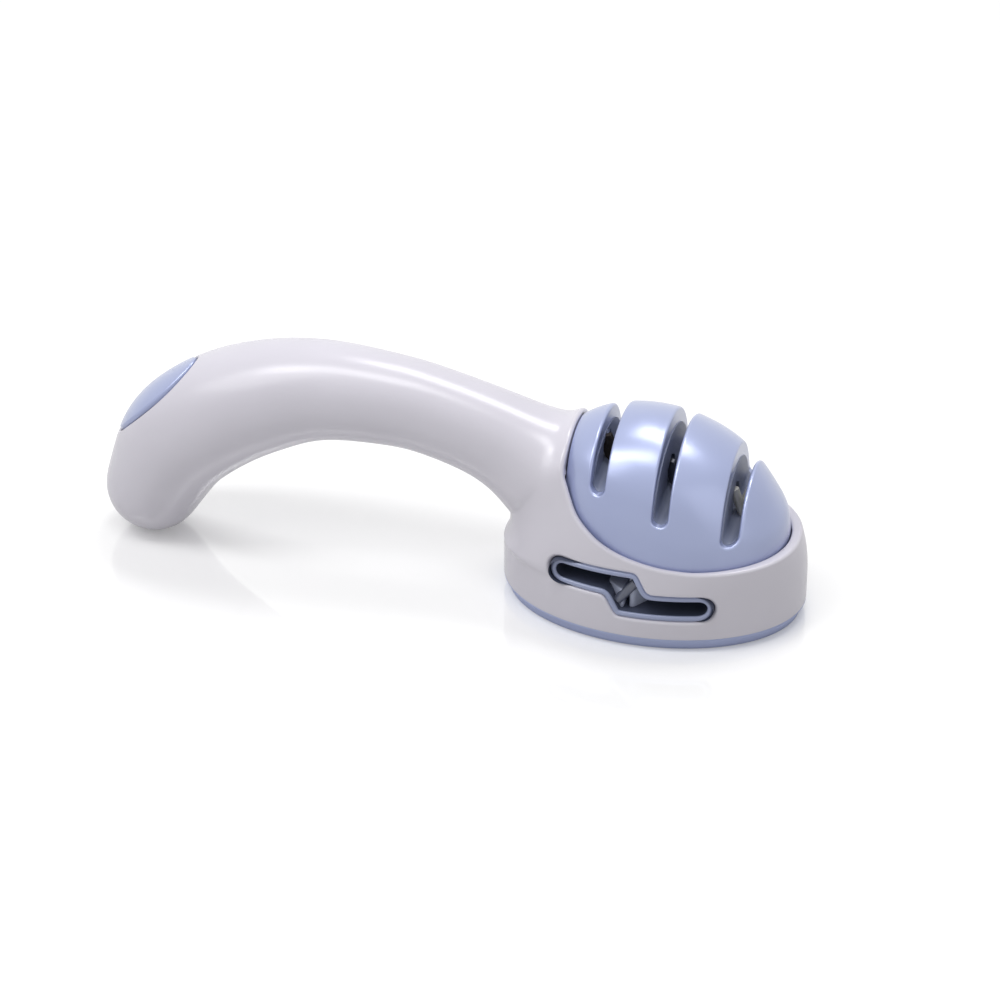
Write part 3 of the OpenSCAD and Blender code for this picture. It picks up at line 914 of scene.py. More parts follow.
    @staticmethod
    def ring_points(rows: np.ndarray, degrees: np.ndarray) -> np.ndarray:
        """Points on each row's oval.

        Args:
            rows: Rows as ring_rows gives them.
            degrees: Angles of the points round the oval.

        Returns:
            The points, as rows by angles.
        """
        t = np.radians(degrees)[None]
        cx, cz, lean, a, b, e = (rows[:, k:k + 1] for k in range(6))
        out = a * bend(np.cos(t), e)
        side = b * bend(np.sin(t), e)
        lean = np.radians(lean)
        return np.stack([cx + out * np.cos(lean), side, cz + out * np.sin(lean)], axis=-1)

    def skin(self) -> tuple[Skin, np.ndarray]:
        """The whole outer surface.

        Returns:
            The surface, and each point's angle round the handle in degrees.
        """
        rows = self.ring_rows()
        degrees = np.arange(self.columns) * 360 / self.columns
        middles = np.repeat(flat_to_space(rows), self.columns, axis=0)
        skin = Skin.from_grid(self.ring_points(rows, degrees), True, lambda p: p - middles)
        return skin, np.tile(degrees, len(rows))


@dataclass
class StepOutline:
    """Stepped outline of the scissor slot in the side view, with softened corners."""

    x: float = 64.2
    z: float = 18.5
    length: float = 51.6
    # Height of each run, and of the step from one to the other
    run_h: float = 8.5
    step_h: float = 6.7
    # Width of the step's slope, half the distance between its ends, and its set towards the handle
    step_run: float = 3.6
    step_half: float = 3.0
    step_back: float = 1.0
    # Distance between the points that are blurred, the blur in points, and the final distance
    fine: float = 0.4
    blur: float = 2.4
    spacing: float = 0.5

    @property
    def ceiling(self) -> float:
        """Height of the top of the upper run."""
        return self.z + (self.step_h + self.run_h) / 2

    def line(self, inset: float = 0.0) -> np.ndarray:
        """The outline, anticlockwise in the side view.

        Args:
            inset: How far it is drawn in all round.

        Returns:
            Its points.
        """
        h, end, up = self.run_h / 2, self.length / 2 - self.run_h / 2, self.step_h / 2
        turn = np.radians(np.arange(90, 271, 10))
        left = np.column_stack([-end + h * np.cos(turn), up + h * np.sin(turn)])
        low_x, high_x = -self.step_half - self.step_back, self.step_half - self.step_back
        low = np.array([[low_x - self.step_run, up - h], [low_x, -up - h]])
        high = np.array([[high_x + self.step_run, h - up], [high_x, up + h]])
        base = even_steps(np.vstack([left, low, -left, high]), self.fine, closed=True)
        base = softened(base, self.blur, closed=True) + np.array([self.x, self.z])
        return even_steps(base + inset * left_of(chords(base)), self.spacing, closed=True)


@dataclass
class Housing:
    """Shell of the handle and head, with its openings, lip and seams."""

    form: BodyForm = field(default_factory=BodyForm)
    outline: StepOutline = field(default_factory=StepOutline)
    # The opening for the module: its flat rear wall, the rim's height, and the oval inside the lip
    collar_x: float = 40.3
    rim_h: float = 27.4
    oval_x: float = 69.15
    oval_a: float = 38.65
    oval_b: float = 29.5
    rim_edge: RolledEdge = RolledEdge(1.05, 0.7)
    # Heights of the straight rise of the rim's line, then its sweep in shares of head and rim
    rise: tuple[float, ...] = (110, 90, 75, 64, 56)
    rim_shares: tuple[tuple[float, float], ...] = (
        (0.234, 1.825), (0.248, 1.712), (0.267, 1.577), (0.287, 1.46), (0.307, 1.39),
        (0.33, 1.332), (0.357, 1.27), (0.389, 1.212), (0.436, 1.15), (0.488, 1.099),
        (0.567, 1.044), (0.643, 1.015), (0.725, 1), (1.05, 1))
    # The lip is this wide at most, and its underside ends at this height at the lowest
    lip_w: float = 5.5
    lip_low: float = 22.0
    slot_edge: RolledEdge = RolledEdge(1.1, 0.0, 8)
    slot_wall: float = 2.5
    # The plaque's bed: place on the spine, half sizes, and how far it is set back along the handle
    plaque_station: float = 1.5
    plaque_a: float = 19.0
    plaque_b: float = 10.75
    plaque_back: float = 2.0
    plaque_edge: RolledEdge = RolledEdge(0.6)
    plaque_deep: float = 1.0
    # The plaque itself: gap round it, radius of its edge, and how far it stands out
    plaque_gap: float = 0.75
    plaque_soft: float = 0.5
    plaque_proud: float = 0.15
    # The underside cover: cosine of its half width, its two end stations and its corner radius
    cover_share: float = 0.87
    cover_from: float = 2.5
    cover_to: float = 7.0
    cover_corner: float = 3.0
    seam_edge: RolledEdge = RolledEdge(0.25, 0.0, 3)
    seam_gap: float = 0.22
    seam_deep: float = 1.1
    base_round: float = 0.35
    # How far the inner walls lie inside the head's outline, along the part and across
    wall: tuple[float, float] = (2.2, 2.3)
    # Made by build: inner end of the lip, and points of the head's near side
    lip_end: np.ndarray = field(init=False)
    near_side: np.ndarray = field(init=False)

    def rim_line(self) -> np.ndarray:
        """Edge of the head in the side view, from over the collar to past the front.

        Returns:
            Its points.
        """
        rows = [(self.collar_x, z) for z in self.rise]
        rows += [(self.form.rear_x + x * self.form.head_l, z * self.rim_h)
                 for x, z in self.rim_shares]
        rows = np.array(rows + [(150.0, self.rim_h)])
        return softened(even_steps(catmull(rows, places_between(rows, 40)), 0.5), 2.5)

    def plaque_frame(self) -> tuple[np.ndarray, np.ndarray, np.ndarray]:
        """Middle of the plaque's bed on the spine, the way along the handle and the way out."""
        middle, _, along, out = self.form.spine_frame(self.plaque_station)
        return middle - self.plaque_back * along, along, out

    def plaque_field(self, points: np.ndarray) -> tuple[np.ndarray, np.ndarray]:
        """How points lie to the oval of the plaque's bed.

        Args:
            points: The points.

        Returns:
            Signed distance of each into the oval, and the way into it.
        """
        middle, along, out = self.plaque_frame()
        d = points - middle
        u, v = d @ along, d[:, 1]
        g = np.sqrt((u / self.plaque_a) ** 2 + (v / self.plaque_b) ** 2) + 1e-9
        slope_u, slope_v = u / self.plaque_a**2 / g, v / self.plaque_b**2 / g
        steep = np.hypot(slope_u, slope_v) + 1e-9
        distance = (1 - g) / steep
        distance[d @ out < 2] = UNTOUCHED
        into = -(slope_u / steep)[:, None] * along - (slope_v / steep)[:, None] * ACROSS
        return distance, unit(into)

    def cover_field(self, points: np.ndarray, degrees: np.ndarray) -> np.ndarray:
        """Signed distance into the outline of the underside cover, measured on the surface.

        Args:
            points: Points of the whole skin, in its order.
            degrees: Angle of each one round the handle.

        Returns:
            The distances.
        """
        ends = self.form.spine(np.array([self.cover_from, self.cover_to]))[0]
        mid_x, half_l = ends[:, 0].mean(), (ends[1, 0] - ends[0, 0]) / 2
        here, slope = self.form.spine(np.linspace(self.cover_from - 1, self.cover_to + 1, 200))
        lean, radius = (np.interp(points[:, 0], here[:, 0], v) for v in (slope, here[:, 2]))
        half_w = math.acos(self.cover_share)
        turn = np.radians(np.abs(degrees - 180))
        # The place of an oval's lowest point stands for all points of the oval
        place = np.repeat(points[degrees == 180, 0], self.form.columns)
        stretch = 1 / np.cos(np.radians(np.clip(lean, -60, 60)))
        du = (np.abs(place - mid_x) - half_l) * stretch + self.cover_corner
        dv = (turn - half_w) * radius + self.cover_corner
        outside = (np.hypot(np.maximum(du, 0), np.maximum(dv, 0))
                   + np.minimum(np.maximum(du, dv), 0) - self.cover_corner)
        outside[points[:, 0] > self.form.rear_x + 6] = -UNTOUCHED
        return -outside

    def build(self) -> None:
        """Makes the shell, its inner walls, the cover underneath and the plaque."""
        whole, degrees = self.form.skin()
        cover = self.cover_field(whole.points, degrees)
        shell, lip = self.cut_rim(whole)
        shell, slot = self.cut_scissor(shell)
        shell, bed = self.cut_plaque(shell)
        pad = np.full(len(shell.points) - len(cover), UNTOUCHED)
        shell, seam = self.cut_cover(shell, np.concatenate([cover, pad]), 1.0)
        add_piece("shell", [shell, lip, slot, bed, seam, self.base_edge()], SHELL_ABS,
                  Slot.SHELL, ["housing"])
        add_piece("underside_cover", self.cut_cover(whole, cover, -1.0), SHELL_ABS, Slot.SHELL,
                  ["handle_cover"])
        self.add_plaque(whole)
        self.add_inside()
        near = within(whole.points, (self.form.rear_x - 2, -OPEN, -OPEN), (OPEN, -5, 34))
        self.near_side = whole.points[near]

    @staticmethod
    def cut_along(skin: Skin, near: np.ndarray, line: np.ndarray, closed: bool,
                  edge: RolledEdge) -> tuple[Skin, np.ndarray, np.ndarray, np.ndarray]:
        """Cuts a sheet along a line of the side view.

        Args:
            skin: The sheet.
            near: Which of its points may be cut away.
            line: The line, with what is cut away on its left.
            closed: Whether it closes.
            edge: Edge that the cut leaves room for.

        Returns:
            The rest of the sheet, and points, normals and way into the hole along its edge.
        """
        value = np.full(len(skin.points), UNTOUCHED)
        distance, grow = distance_to_line(side_view(skin.points[near]), line, closed)
        value[near] = edge.trim(distance, skin.normals[near], flat_to_space(grow))
        skin, start, normals = skin.opened(value)
        into = flat_to_space(distance_to_line(side_view(start), line, closed)[1])
        return skin, start, normals, into

    def cut_rim(self, skin: Skin) -> tuple[Skin, Skin]:
        """Opens the head for the module and rounds the lip.

        Args:
            skin: The whole skin.

        Returns:
            The rest of the skin, and the lip.
        """
        edge = self.rim_edge
        # Only the upper part of the head is cut, and not the handle beside the line
        near = within(skin.points, (34, -OPEN, 20), (OPEN, OPEN, OPEN))
        skin, start, normals, into = self.cut_along(skin, near, self.rim_line(), False, edge)
        first = edge.rings(start, normals, into, 0.0)[edge.steps][0]
        cos = (normals * into).sum(1)[:, None]
        down = unit(-(normals - cos * into))
        # The lip ends where it meets the oval that the module stands in
        run = np.full(len(start), self.lip_w)
        for step in np.arange(self.lip_w, 0.2, -0.1):
            p = first + step * down
            g = ((p[:, 0] - self.oval_x) / self.oval_a) ** 2 + (p[:, 1] / self.oval_b) ** 2
            run[(g < 1) & (p[:, 0] > self.collar_x + 0.3)] = step - edge.far_radius
        run = np.maximum(softened(run, 3.0, closed=True), 0.3)
        # Over the scissor slot the wall ends above the slot's ceiling
        from_slot = np.abs(start[:, 0] - self.outline.x)
        over_slot = (start[:, 1] < -10) & (from_slot < self.outline.length / 2 + 2)
        lowest = np.where(over_slot, self.outline.ceiling + 0.3, self.lip_low)
        drop = (start[:, 2] - lowest) / np.maximum(into[:, 2], 0.35)
        drop = softened(np.clip(drop, np.where(over_slot, 0.2, 3.0), 8), 2.0, closed=True)
        self.lip_end = first + run[:, None] * down
        return skin, edge.sheet(start, normals, into, run, drop)

    def cut_scissor(self, skin: Skin) -> tuple[Skin, Skin]:
        """Opens the near side for the stepped scissor slot.

        Args:
            skin: The skin.

        Returns:
            The rest of the skin, and the slot's rounded edge.
        """
        # Only the near side of the head is cut, and not the far side behind the outline
        near = within(skin.points, (34, -OPEN, 7), (94, -10, 30))
        skin, *along_edge = self.cut_along(skin, near, self.outline.line(-0.1), True,
                                           self.slot_edge)
        return skin, self.slot_edge.sheet(*along_edge, self.slot_wall)

    def cut_plaque(self, skin: Skin) -> tuple[Skin, Skin]:
        """Sinks the bed of the plaque into the end of the handle.

        Args:
            skin: The skin.

        Returns:
            The rest of the skin, and the bed's edge and side.
        """
        edge = self.plaque_edge
        distance, into = self.plaque_field(skin.points)
        skin, start, normals = skin.opened(edge.trim(distance, skin.normals, into))
        return skin, edge.sheet(start, normals, self.plaque_field(start)[1], self.plaque_deep)

    def cut_cover(self, skin: Skin, value: np.ndarray, sign: float) -> tuple[Skin, Skin]:
        """Cuts a sheet along the seam of the underside cover.

        Args:
            skin: The sheet.
            value: Signed distance into the cover's outline.
            sign: 1 to open the handle for the cover, -1 to keep the cover alone.

        Returns:
            The rest of the sheet, and its rounded edge, turned inwards.
        """
        edge = self.seam_edge
        skin, start, normals = skin.opened(sign * value + edge.radius + self.seam_gap / 2)
        into = unit(np.cross(normals, softened(chords(start), 3, closed=True)))
        if float((into * (start.mean(0) - start)).sum()) * sign < 0:
            into = -into
        return skin, edge.sheet(start, normals, into, self.seam_deep)

    def base_edge(self) -> Skin:
        """Rounded lower edge of the head over the sole.

        Returns:
            The edge as a sheet.
        """
        t = circle(1.5)
        a, b, r = self.form.head_l / 2, self.form.width / 2, self.base_round
        out = oval_out(t, a, b)
        foot = oval(t, a, b, self.form.head_x, self.form.low)
        rings: list[Ring] = []
        for turn in quarter_turn(4):
            n = out * math.cos(turn) - UP * math.sin(turn)
            rings.append((foot - r * out + r * n, n))
        rings.append((foot - 2.0 * out - r * UP, np.tile(-UP, (len(t), 1))))
        return Skin.from_rings(rings)

    def add_plaque(self, whole: Skin) -> None:
        """Oval plaque on the end of the handle, a little proud, with a soft edge.

        Args:
            whole: Skin of the handle before any cut.
        """
        middle, along, out = self.plaque_frame()
        d = whole.points - middle
        near = (d @ out > 2) & (np.abs(d @ along) < 24) & (np.abs(d[:, 1]) < 14.5)
        places = np.column_stack([d[near] @ along, d[near][:, 1]])
        heights = d[near] @ out
        turn = circle(2.5)
        soft, proud = self.plaque_soft, self.plaque_proud
        a, b = self.plaque_a - self.plaque_gap, self.plaque_b - self.plaque_gap
        # Half sizes of each ring from the middle out, and its height over the handle's skin
        levels = [(s * (a - soft), s * (b - soft), proud)
                  for s in (0.001, 0.15, 0.3, 0.45, 0.6, 0.72, 0.82, 0.9)]
        for q in quarter_turn(7):
            levels.append((a - soft + soft * math.sin(q), b - soft + soft * math.sin(q),
                           proud - soft * (1 - math.cos(q))))
        levels.append((a, b, -1.2))
        rows = []
        for ra, rb, lift in levels:
            flat = np.column_stack([ra * np.cos(turn), rb * np.sin(turn)])
            high = height_over(places, heights, flat) + lift
            rows.append(middle + flat[:, :1] * along + flat[:, 1:] * ACROSS + high[:, None] * out)
        skin = Skin.from_grid(np.stack(rows), True, lambda p: np.tile(out, (len(p), 1)))
        add_piece("blue_plaque", [skin], PEARL_ABS, Slot.BLUE, ["end_plaque"])

    def add_inside(self) -> None:
        """Walls inside the head that show when the module is out, with the slot's hole in them."""
        x, low = self.form.head_x, self.form.low
        a, b = self.form.head_l / 2 - self.wall[0], self.form.width / 2 - self.wall[1]
        levels = [(self.oval_a, self.oval_b, self.oval_x, 23.5),
                  (self.oval_a, self.oval_b, self.oval_x, self.lip_low)]
        levels += [(a, b, x, z) for z in np.linspace(21.2, low, 28)]
        grid = np.stack([oval(circle(1.0), *level) for level in levels])
        walls = Skin.from_grid(grid, True, lambda p: (x, 0, 0) - p * (1, 1, 0))
        value = np.full(len(walls.points), UNTOUCHED)
        near = walls.points[:, 1] < -10
        flat = side_view(walls.points[near])
        value[near] = distance_to_line(flat, self.outline.line(), closed=True)[0]
        walls = walls.cut(value)[0]
        # The collar's plate fills the lip's end behind the module, down to the seat
        plate = self.lip_end[self.lip_end[:, 0] < self.collar_x + 0.5]
        plate = plate[np.argsort(np.arctan2(plate[:, 1], plate[:, 2] - 24))]
        plate[:, 0] = self.collar_x - 0.1
        half = min(abs(plate[0, 1]), abs(plate[-1, 1]), 19.0)
        feet = [[plate[0, 0], side, self.lip_low] for side in (half, -half)]
        add_piece("head_inside", [walls, Skin.from_face(np.vstack([plate, feet]), (1, 0, 0))],
                  INSIDE_PP, Slot.BASE)


@dataclass
class ScissorSlot:
    """Insert in the stepped scissor slot: a beaded rim, a tray behind it and the guide block."""

    outline: StepOutline
    # Points of the head's near side, which the bead follows
    near_side: np.ndarray
    # The bead: radius, place in from the outline, and how far it is sunk under the shell's skin
    bead_r: float = 0.85
    bead_in: float = 0.8
    bead_sunk: float = 0.25
    # Angle at which the bead's outer side begins, and how far out and down its gutter runs under
    # the shell's edge
    bead_from: float = -62
    gutter: float = 0.35
    # Floor of the tray, the two ends of its outer sides, and how far it clears the outline
    back_y: float = -21.3
    tray_ends: tuple[float, float] = (-29.0, -19.6)
    tray_gap: float = 0.02
    # Front of the guide block, radius of its edges, and its underside from the slot's middle
    guide_y: float = -29.3
    guide_r: float = 0.4
    guide_low: float = -6.9

    def shell_y(self, at: np.ndarray) -> np.ndarray:
        """Where the head's near side lies at places of the side view."""
        return height_over(side_view(self.near_side), self.near_side[:, 1], at, 14)

    def bead_path(self) -> tuple[np.ndarray, np.ndarray, np.ndarray]:
        """Path that the bead runs round.

        Returns:
            Middle of the bead, the way out of the shell there and the way into the slot.
        """
        centre = self.outline.line(self.bead_in)
        y = softened(self.shell_y(centre), 3, closed=True)
        slope_x, slope_z = ((self.shell_y(centre + step) - self.shell_y(centre - step)) / 1.2
                            for step in ([0.6, 0], [0, 0.6]))
        out = np.column_stack([slope_x, -np.ones(len(centre)), slope_z])
        out = unit(softened(out, 4, closed=True))
        middle = np.column_stack([centre[:, 0], y, centre[:, 1]])
        inward = flat_to_space(left_of(chords(centre)))
        inward = unit(inward - (inward * out).sum(1)[:, None] * out)
        return middle - out * (self.bead_r + self.bead_sunk), out, inward

    def build(self) -> None:
        """Makes the insert and the guide block."""
        middle, out, inward = self.bead_path()
        bead: list[Ring] = []
        for turn in np.radians(np.linspace(self.bead_from, 90, 13)):
            n = out * math.cos(turn) + inward * math.sin(turn)
            bead.append((middle + self.bead_r * n, n))
        bead.insert(0, (bead[0][0] - self.gutter * inward - self.gutter * out, out))
        flat = unit(inward * (1, 0, 1))
        front = bead[-1][0] + (0, self.tray_gap, 0)
        back = front.copy()
        back[:, 1] = self.back_y
        line = self.outline.line(-self.tray_gap)
        ends = [np.column_stack([line[:, 0], np.full(len(line), y), line[:, 1]])
                for y in self.tray_ends]
        outward = -flat_to_space(distance_to_line(line, self.outline.line(), closed=True)[1])
        tray = [Skin.from_rings([(front, flat), (back, flat)]), Skin.from_face(back, -ACROSS),
                Skin.from_rings([(end, outward) for end in ends]),
                Skin.from_face(ends[1], ACROSS)]
        add_piece("scissor_rim", [Skin.from_rings(bead)], RIM_NYLON, Slot.DARK)
        # The tray's dark slate is partly painted shade of the deep scissor slot
        add_piece("scissor_tray", tray, TRAY_NYLON_PAINTED_SHADE, Slot.DARK, ["scissor_insert"])
        self.add_guide()

    def add_guide(self) -> None:
        """Guide block: a ramp on its left, a slit for the blade and a slope on its right."""
        y, deep = self.guide_y, self.back_y + 0.1
        # Corners in plan view, x from the middle of the slot and y in depth, from left to right
        left = [(-6.6, deep), (-6.4, y + 3.6), (-2.2, y + 0.1), (-1.5, y - 0.15),
                (-1.05, y + 0.1), (-0.95, y + 1.2), (-0.9, deep)]
        right = [(0.5, deep), (0.5, y + 1.8), (0.65, y + 1.0), (1.2, y + 0.7), (2.2, y + 1.1),
                 (5.4, y + 5.8), (5.6, deep)]
        sheets = self.guide_half(left, 0.6) + self.guide_half(right, 5.5)
        # The guide block's pale colour is painted light, standing in for the light that the slot's
        # shade keeps from it
        add_piece("scissor_guide_block", sheets, GUIDE_NYLON_PAINTED_LIGHT, Slot.GUIDE, ["scissor_guide"])

    def guide_half(self, corners: list[tuple[float, float]], high: float) -> list[Skin]:
        """One half of the guide block.

        Args:
            corners: Its corners in plan view.
            high: Height of its top over the middle of the slot.

        Returns:
            Its side with rounded edges, its underside and its top.
        """
        x, z, r = self.outline.x - self.outline.step_back, self.outline.z, self.guide_r
        fine = softened(even_steps(np.array(corners, float), 0.25), 1.6)
        n = np.column_stack([-left_of(np.gradient(fine, axis=0)), np.zeros(len(fine))])
        if n[len(n) // 2][1] > 0:
            n = -n
        rings: list[Ring] = []
        for end, level, turns in ((-1, self.guide_low, np.linspace(90, 0, 6)),
                                  (1, high, np.linspace(0, 90, 6))):
            for turn in np.radians(turns):
                way = n * math.cos(turn) + end * UP * math.sin(turn)
                p = np.column_stack([x + fine[:, 0], fine[:, 1],
                                     np.full(len(fine), z + level - end * r)])
                rings.append((p - r * n + r * way, way))
        return [Skin.from_rings(rings, closed=False), Skin.from_face(rings[0][0], -UP),
                Skin.from_face(rings[-1][0], UP)]


@dataclass
class Sole:
    """Soft sole round the bottom of the head: a tapered band, a rounded edge and a flat face."""

    # Place along the part, half the length, half the width, and the height
    x: float = 65.6
    a: float = 47.6
    b: float = 32.5
    high: float = 4.6
    # How far the band draws in from its top to the table, and the radii of its two edges
    taper: float = 2.0
    edge_r: float = 0.8
    top_r: float = 0.4
    # Gap between the band and the shell over it, and how far in the upper edge's middle lies
    top_gap: float = 0.15
    top_in: float = 0.45
    pocket_r: float = 3.05
    pocket_h: float = 2.0
    pocket_edge: RolledEdge = RolledEdge(0.35, 0.0, 4)
    # Screw pockets: four of the base plate, two of the tray, two of the scissor insert
    pockets: tuple[tuple[float, float], ...] = (
        (102.2, 12), (102.2, -12), (29.0, 12), (29.0, -12), (84.15, 0), (54.15, 0),
        (77.7, -22.8), (50.7, -22.8))

    def ring(self, inset: float, z: float, up: float) -> Ring:
        """One ring of the band.

        Args:
            inset: How far its oval is drawn in.
            z: Its height.
            up: Angle by which it faces up, in radians.

        Returns:
            Its points and normals.
        """
        t = circle(1.5)
        out = oval_out(t, self.a, self.b)
        return (oval(t, self.a - inset, self.b - inset, self.x, z),
                out * math.cos(up) + UP * math.sin(up))

    def band(self) -> list[Ring]:
        """Rings of the band, from its upper edge round under the sole.

        Returns:
            The rings.
        """
        lean = math.atan2(self.taper, self.high)
        rings = [self.ring(1.2, self.high - self.top_gap, QUARTER)]
        for turn in reversed(quarter_turn(4)):
            rings.append(self.ring(
                self.top_in - self.top_r * math.cos(turn),
                self.high - self.top_gap - self.top_r * (1 - math.sin(turn)), turn))
        for z in (3.0, 1.9, self.edge_r + 0.1):
            rings.append(self.ring(0.1 + self.taper * (self.high - z) / self.high, z, -lean))
        corner = self.taper * (self.high - self.edge_r) / self.high
        for k in range(1, 6):
            turn = -lean - (QUARTER - lean) * k / 5
            rings.append(self.ring(corner + self.edge_r * (1 - math.cos(turn)) * 0.9,
                                   self.edge_r * (1 - math.sin(-turn)), turn))
        return rings

    def build(self) -> None:
        """Makes the sole."""
        rings = self.band()
        middle = np.array([self.x, 0, 0.0])
        grid = np.stack([middle + (rings[-1][0] - middle) * s for s in np.linspace(1, 0.002, 60)])
        disc = Skin.from_grid(grid, True, lambda p: np.tile(-UP, (len(p), 1)))
        disc.normals[:] = -UP
        sheets = [Skin.from_rings(rings)]
        edge = self.pocket_edge
        for pocket in self.pockets:
            off = disc.points[:, :2] - np.array(pocket)
            far = np.linalg.norm(off, axis=1)
            into = np.column_stack([-off / np.maximum(far, 1e-6)[:, None], np.zeros(len(off))])
            disc, start, normals = disc.opened(
                edge.trim(self.pocket_r - far, disc.normals, into))
            into = np.column_stack([-unit(start[:, :2] - np.array(pocket)), np.zeros(len(start))])
            sheets.append(edge.sheet(start, normals, into, self.pocket_h))
        add_piece("soft_sole", [disc, *sheets], SOLE_ELASTOMER, Slot.SOLE, ["sole"])


@dataclass
class CrossScrews:
    """Pan-head screws with a cross recess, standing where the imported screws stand."""

    node: str
    length: float
    # Middle of each head's face and way of its shank
    feet: list[Ring]
    head_r: float = 2.85
    head_h: float = 1.4
    shank_r: float = 1.5

    def build(self) -> None:
        """Makes the screws of one node."""
        sheets = [sheet for foot, way in self.feet for sheet in self.one(foot, unit(way))]
        add_piece(self.node + "_with_recess", sheets, SCREW_STEEL, Slot.SCREWS, [self.node])

    def recess(self, u: np.ndarray, v: np.ndarray) -> np.ndarray:
        """Depth of the cross recess.

        Args:
            u: Places on the head's face, one way.
            v: The same places, the other way.

        Returns:
            The depth at each place.
        """
        # Half the width and length of each arm of the cross, and its depth
        wide, long, deep = 0.15 * self.head_r, 0.56 * self.head_r, 0.62 * self.head_h
        out = np.zeros(len(u))
        for a, b in ((u, v), (v, u)):
            across = np.clip((wide - np.abs(a)) / (0.5 * wide) + 0.5, 0, 1)
            along = np.clip((long - np.abs(b)) / (0.45 * long), 0, 1)
            out = np.maximum(out, deep * across * along)
        return out

    def one(self, foot: np.ndarray, way: np.ndarray) -> list[Skin]:
        """One screw.

        Args:
            foot: Middle of its head's face.
            way: Way of its shank.

        Returns:
            Its head and its shank.
        """
        # The cross is turned by a way that no shank points along
        side = unit(np.cross(way, [0.3, 1.0, 0.2]))
        other = np.cross(way, side)
        t = circle(6)
        rows = []
        for s in np.linspace(0.02, 0.9, 22):
            u, v = s * self.head_r * np.cos(t), s * self.head_r * np.sin(t)
            rows.append(np.column_stack([u, v, self.recess(u, v) + 0.12 * self.head_h * s * s]))
        # Radius and depth of the head's rounded rim, its underside and the shank
        turned = [(self.head_r * (0.9 + 0.1 * math.sin(q)),
                   self.head_h * (0.1 + 0.12 * (1 - math.cos(q))))
                  for q in np.radians([20, 45, 70, 90])]
        turned += [(self.head_r, self.head_h), (self.shank_r, self.head_h),
                   (self.shank_r, self.length), (0.3 * self.shank_r, self.length)]
        rows += [oval(t, r, r, 0, h) for r, h in turned]
        grid = np.stack(rows)
        space = foot + grid[..., :1] * side + grid[..., 1:2] * other + grid[..., 2:] * way

        def outward(points: np.ndarray) -> np.ndarray:
            """Rough way out of the head."""
            d = points - foot - way * self.head_h
            return d - 0.6 * (d @ way)[:, None] * way - way * 0.2 * self.head_h

        def off_axis(points: np.ndarray) -> np.ndarray:
            """Rough way out of the shank."""
            d = points - foot
            return d - (d @ way)[:, None] * way + 0.05 * way

        head = len(rows) - 2
        return [Skin.from_grid(space[:head], True, outward),
                Skin.from_grid(space[head - 1:], True, off_axis)]


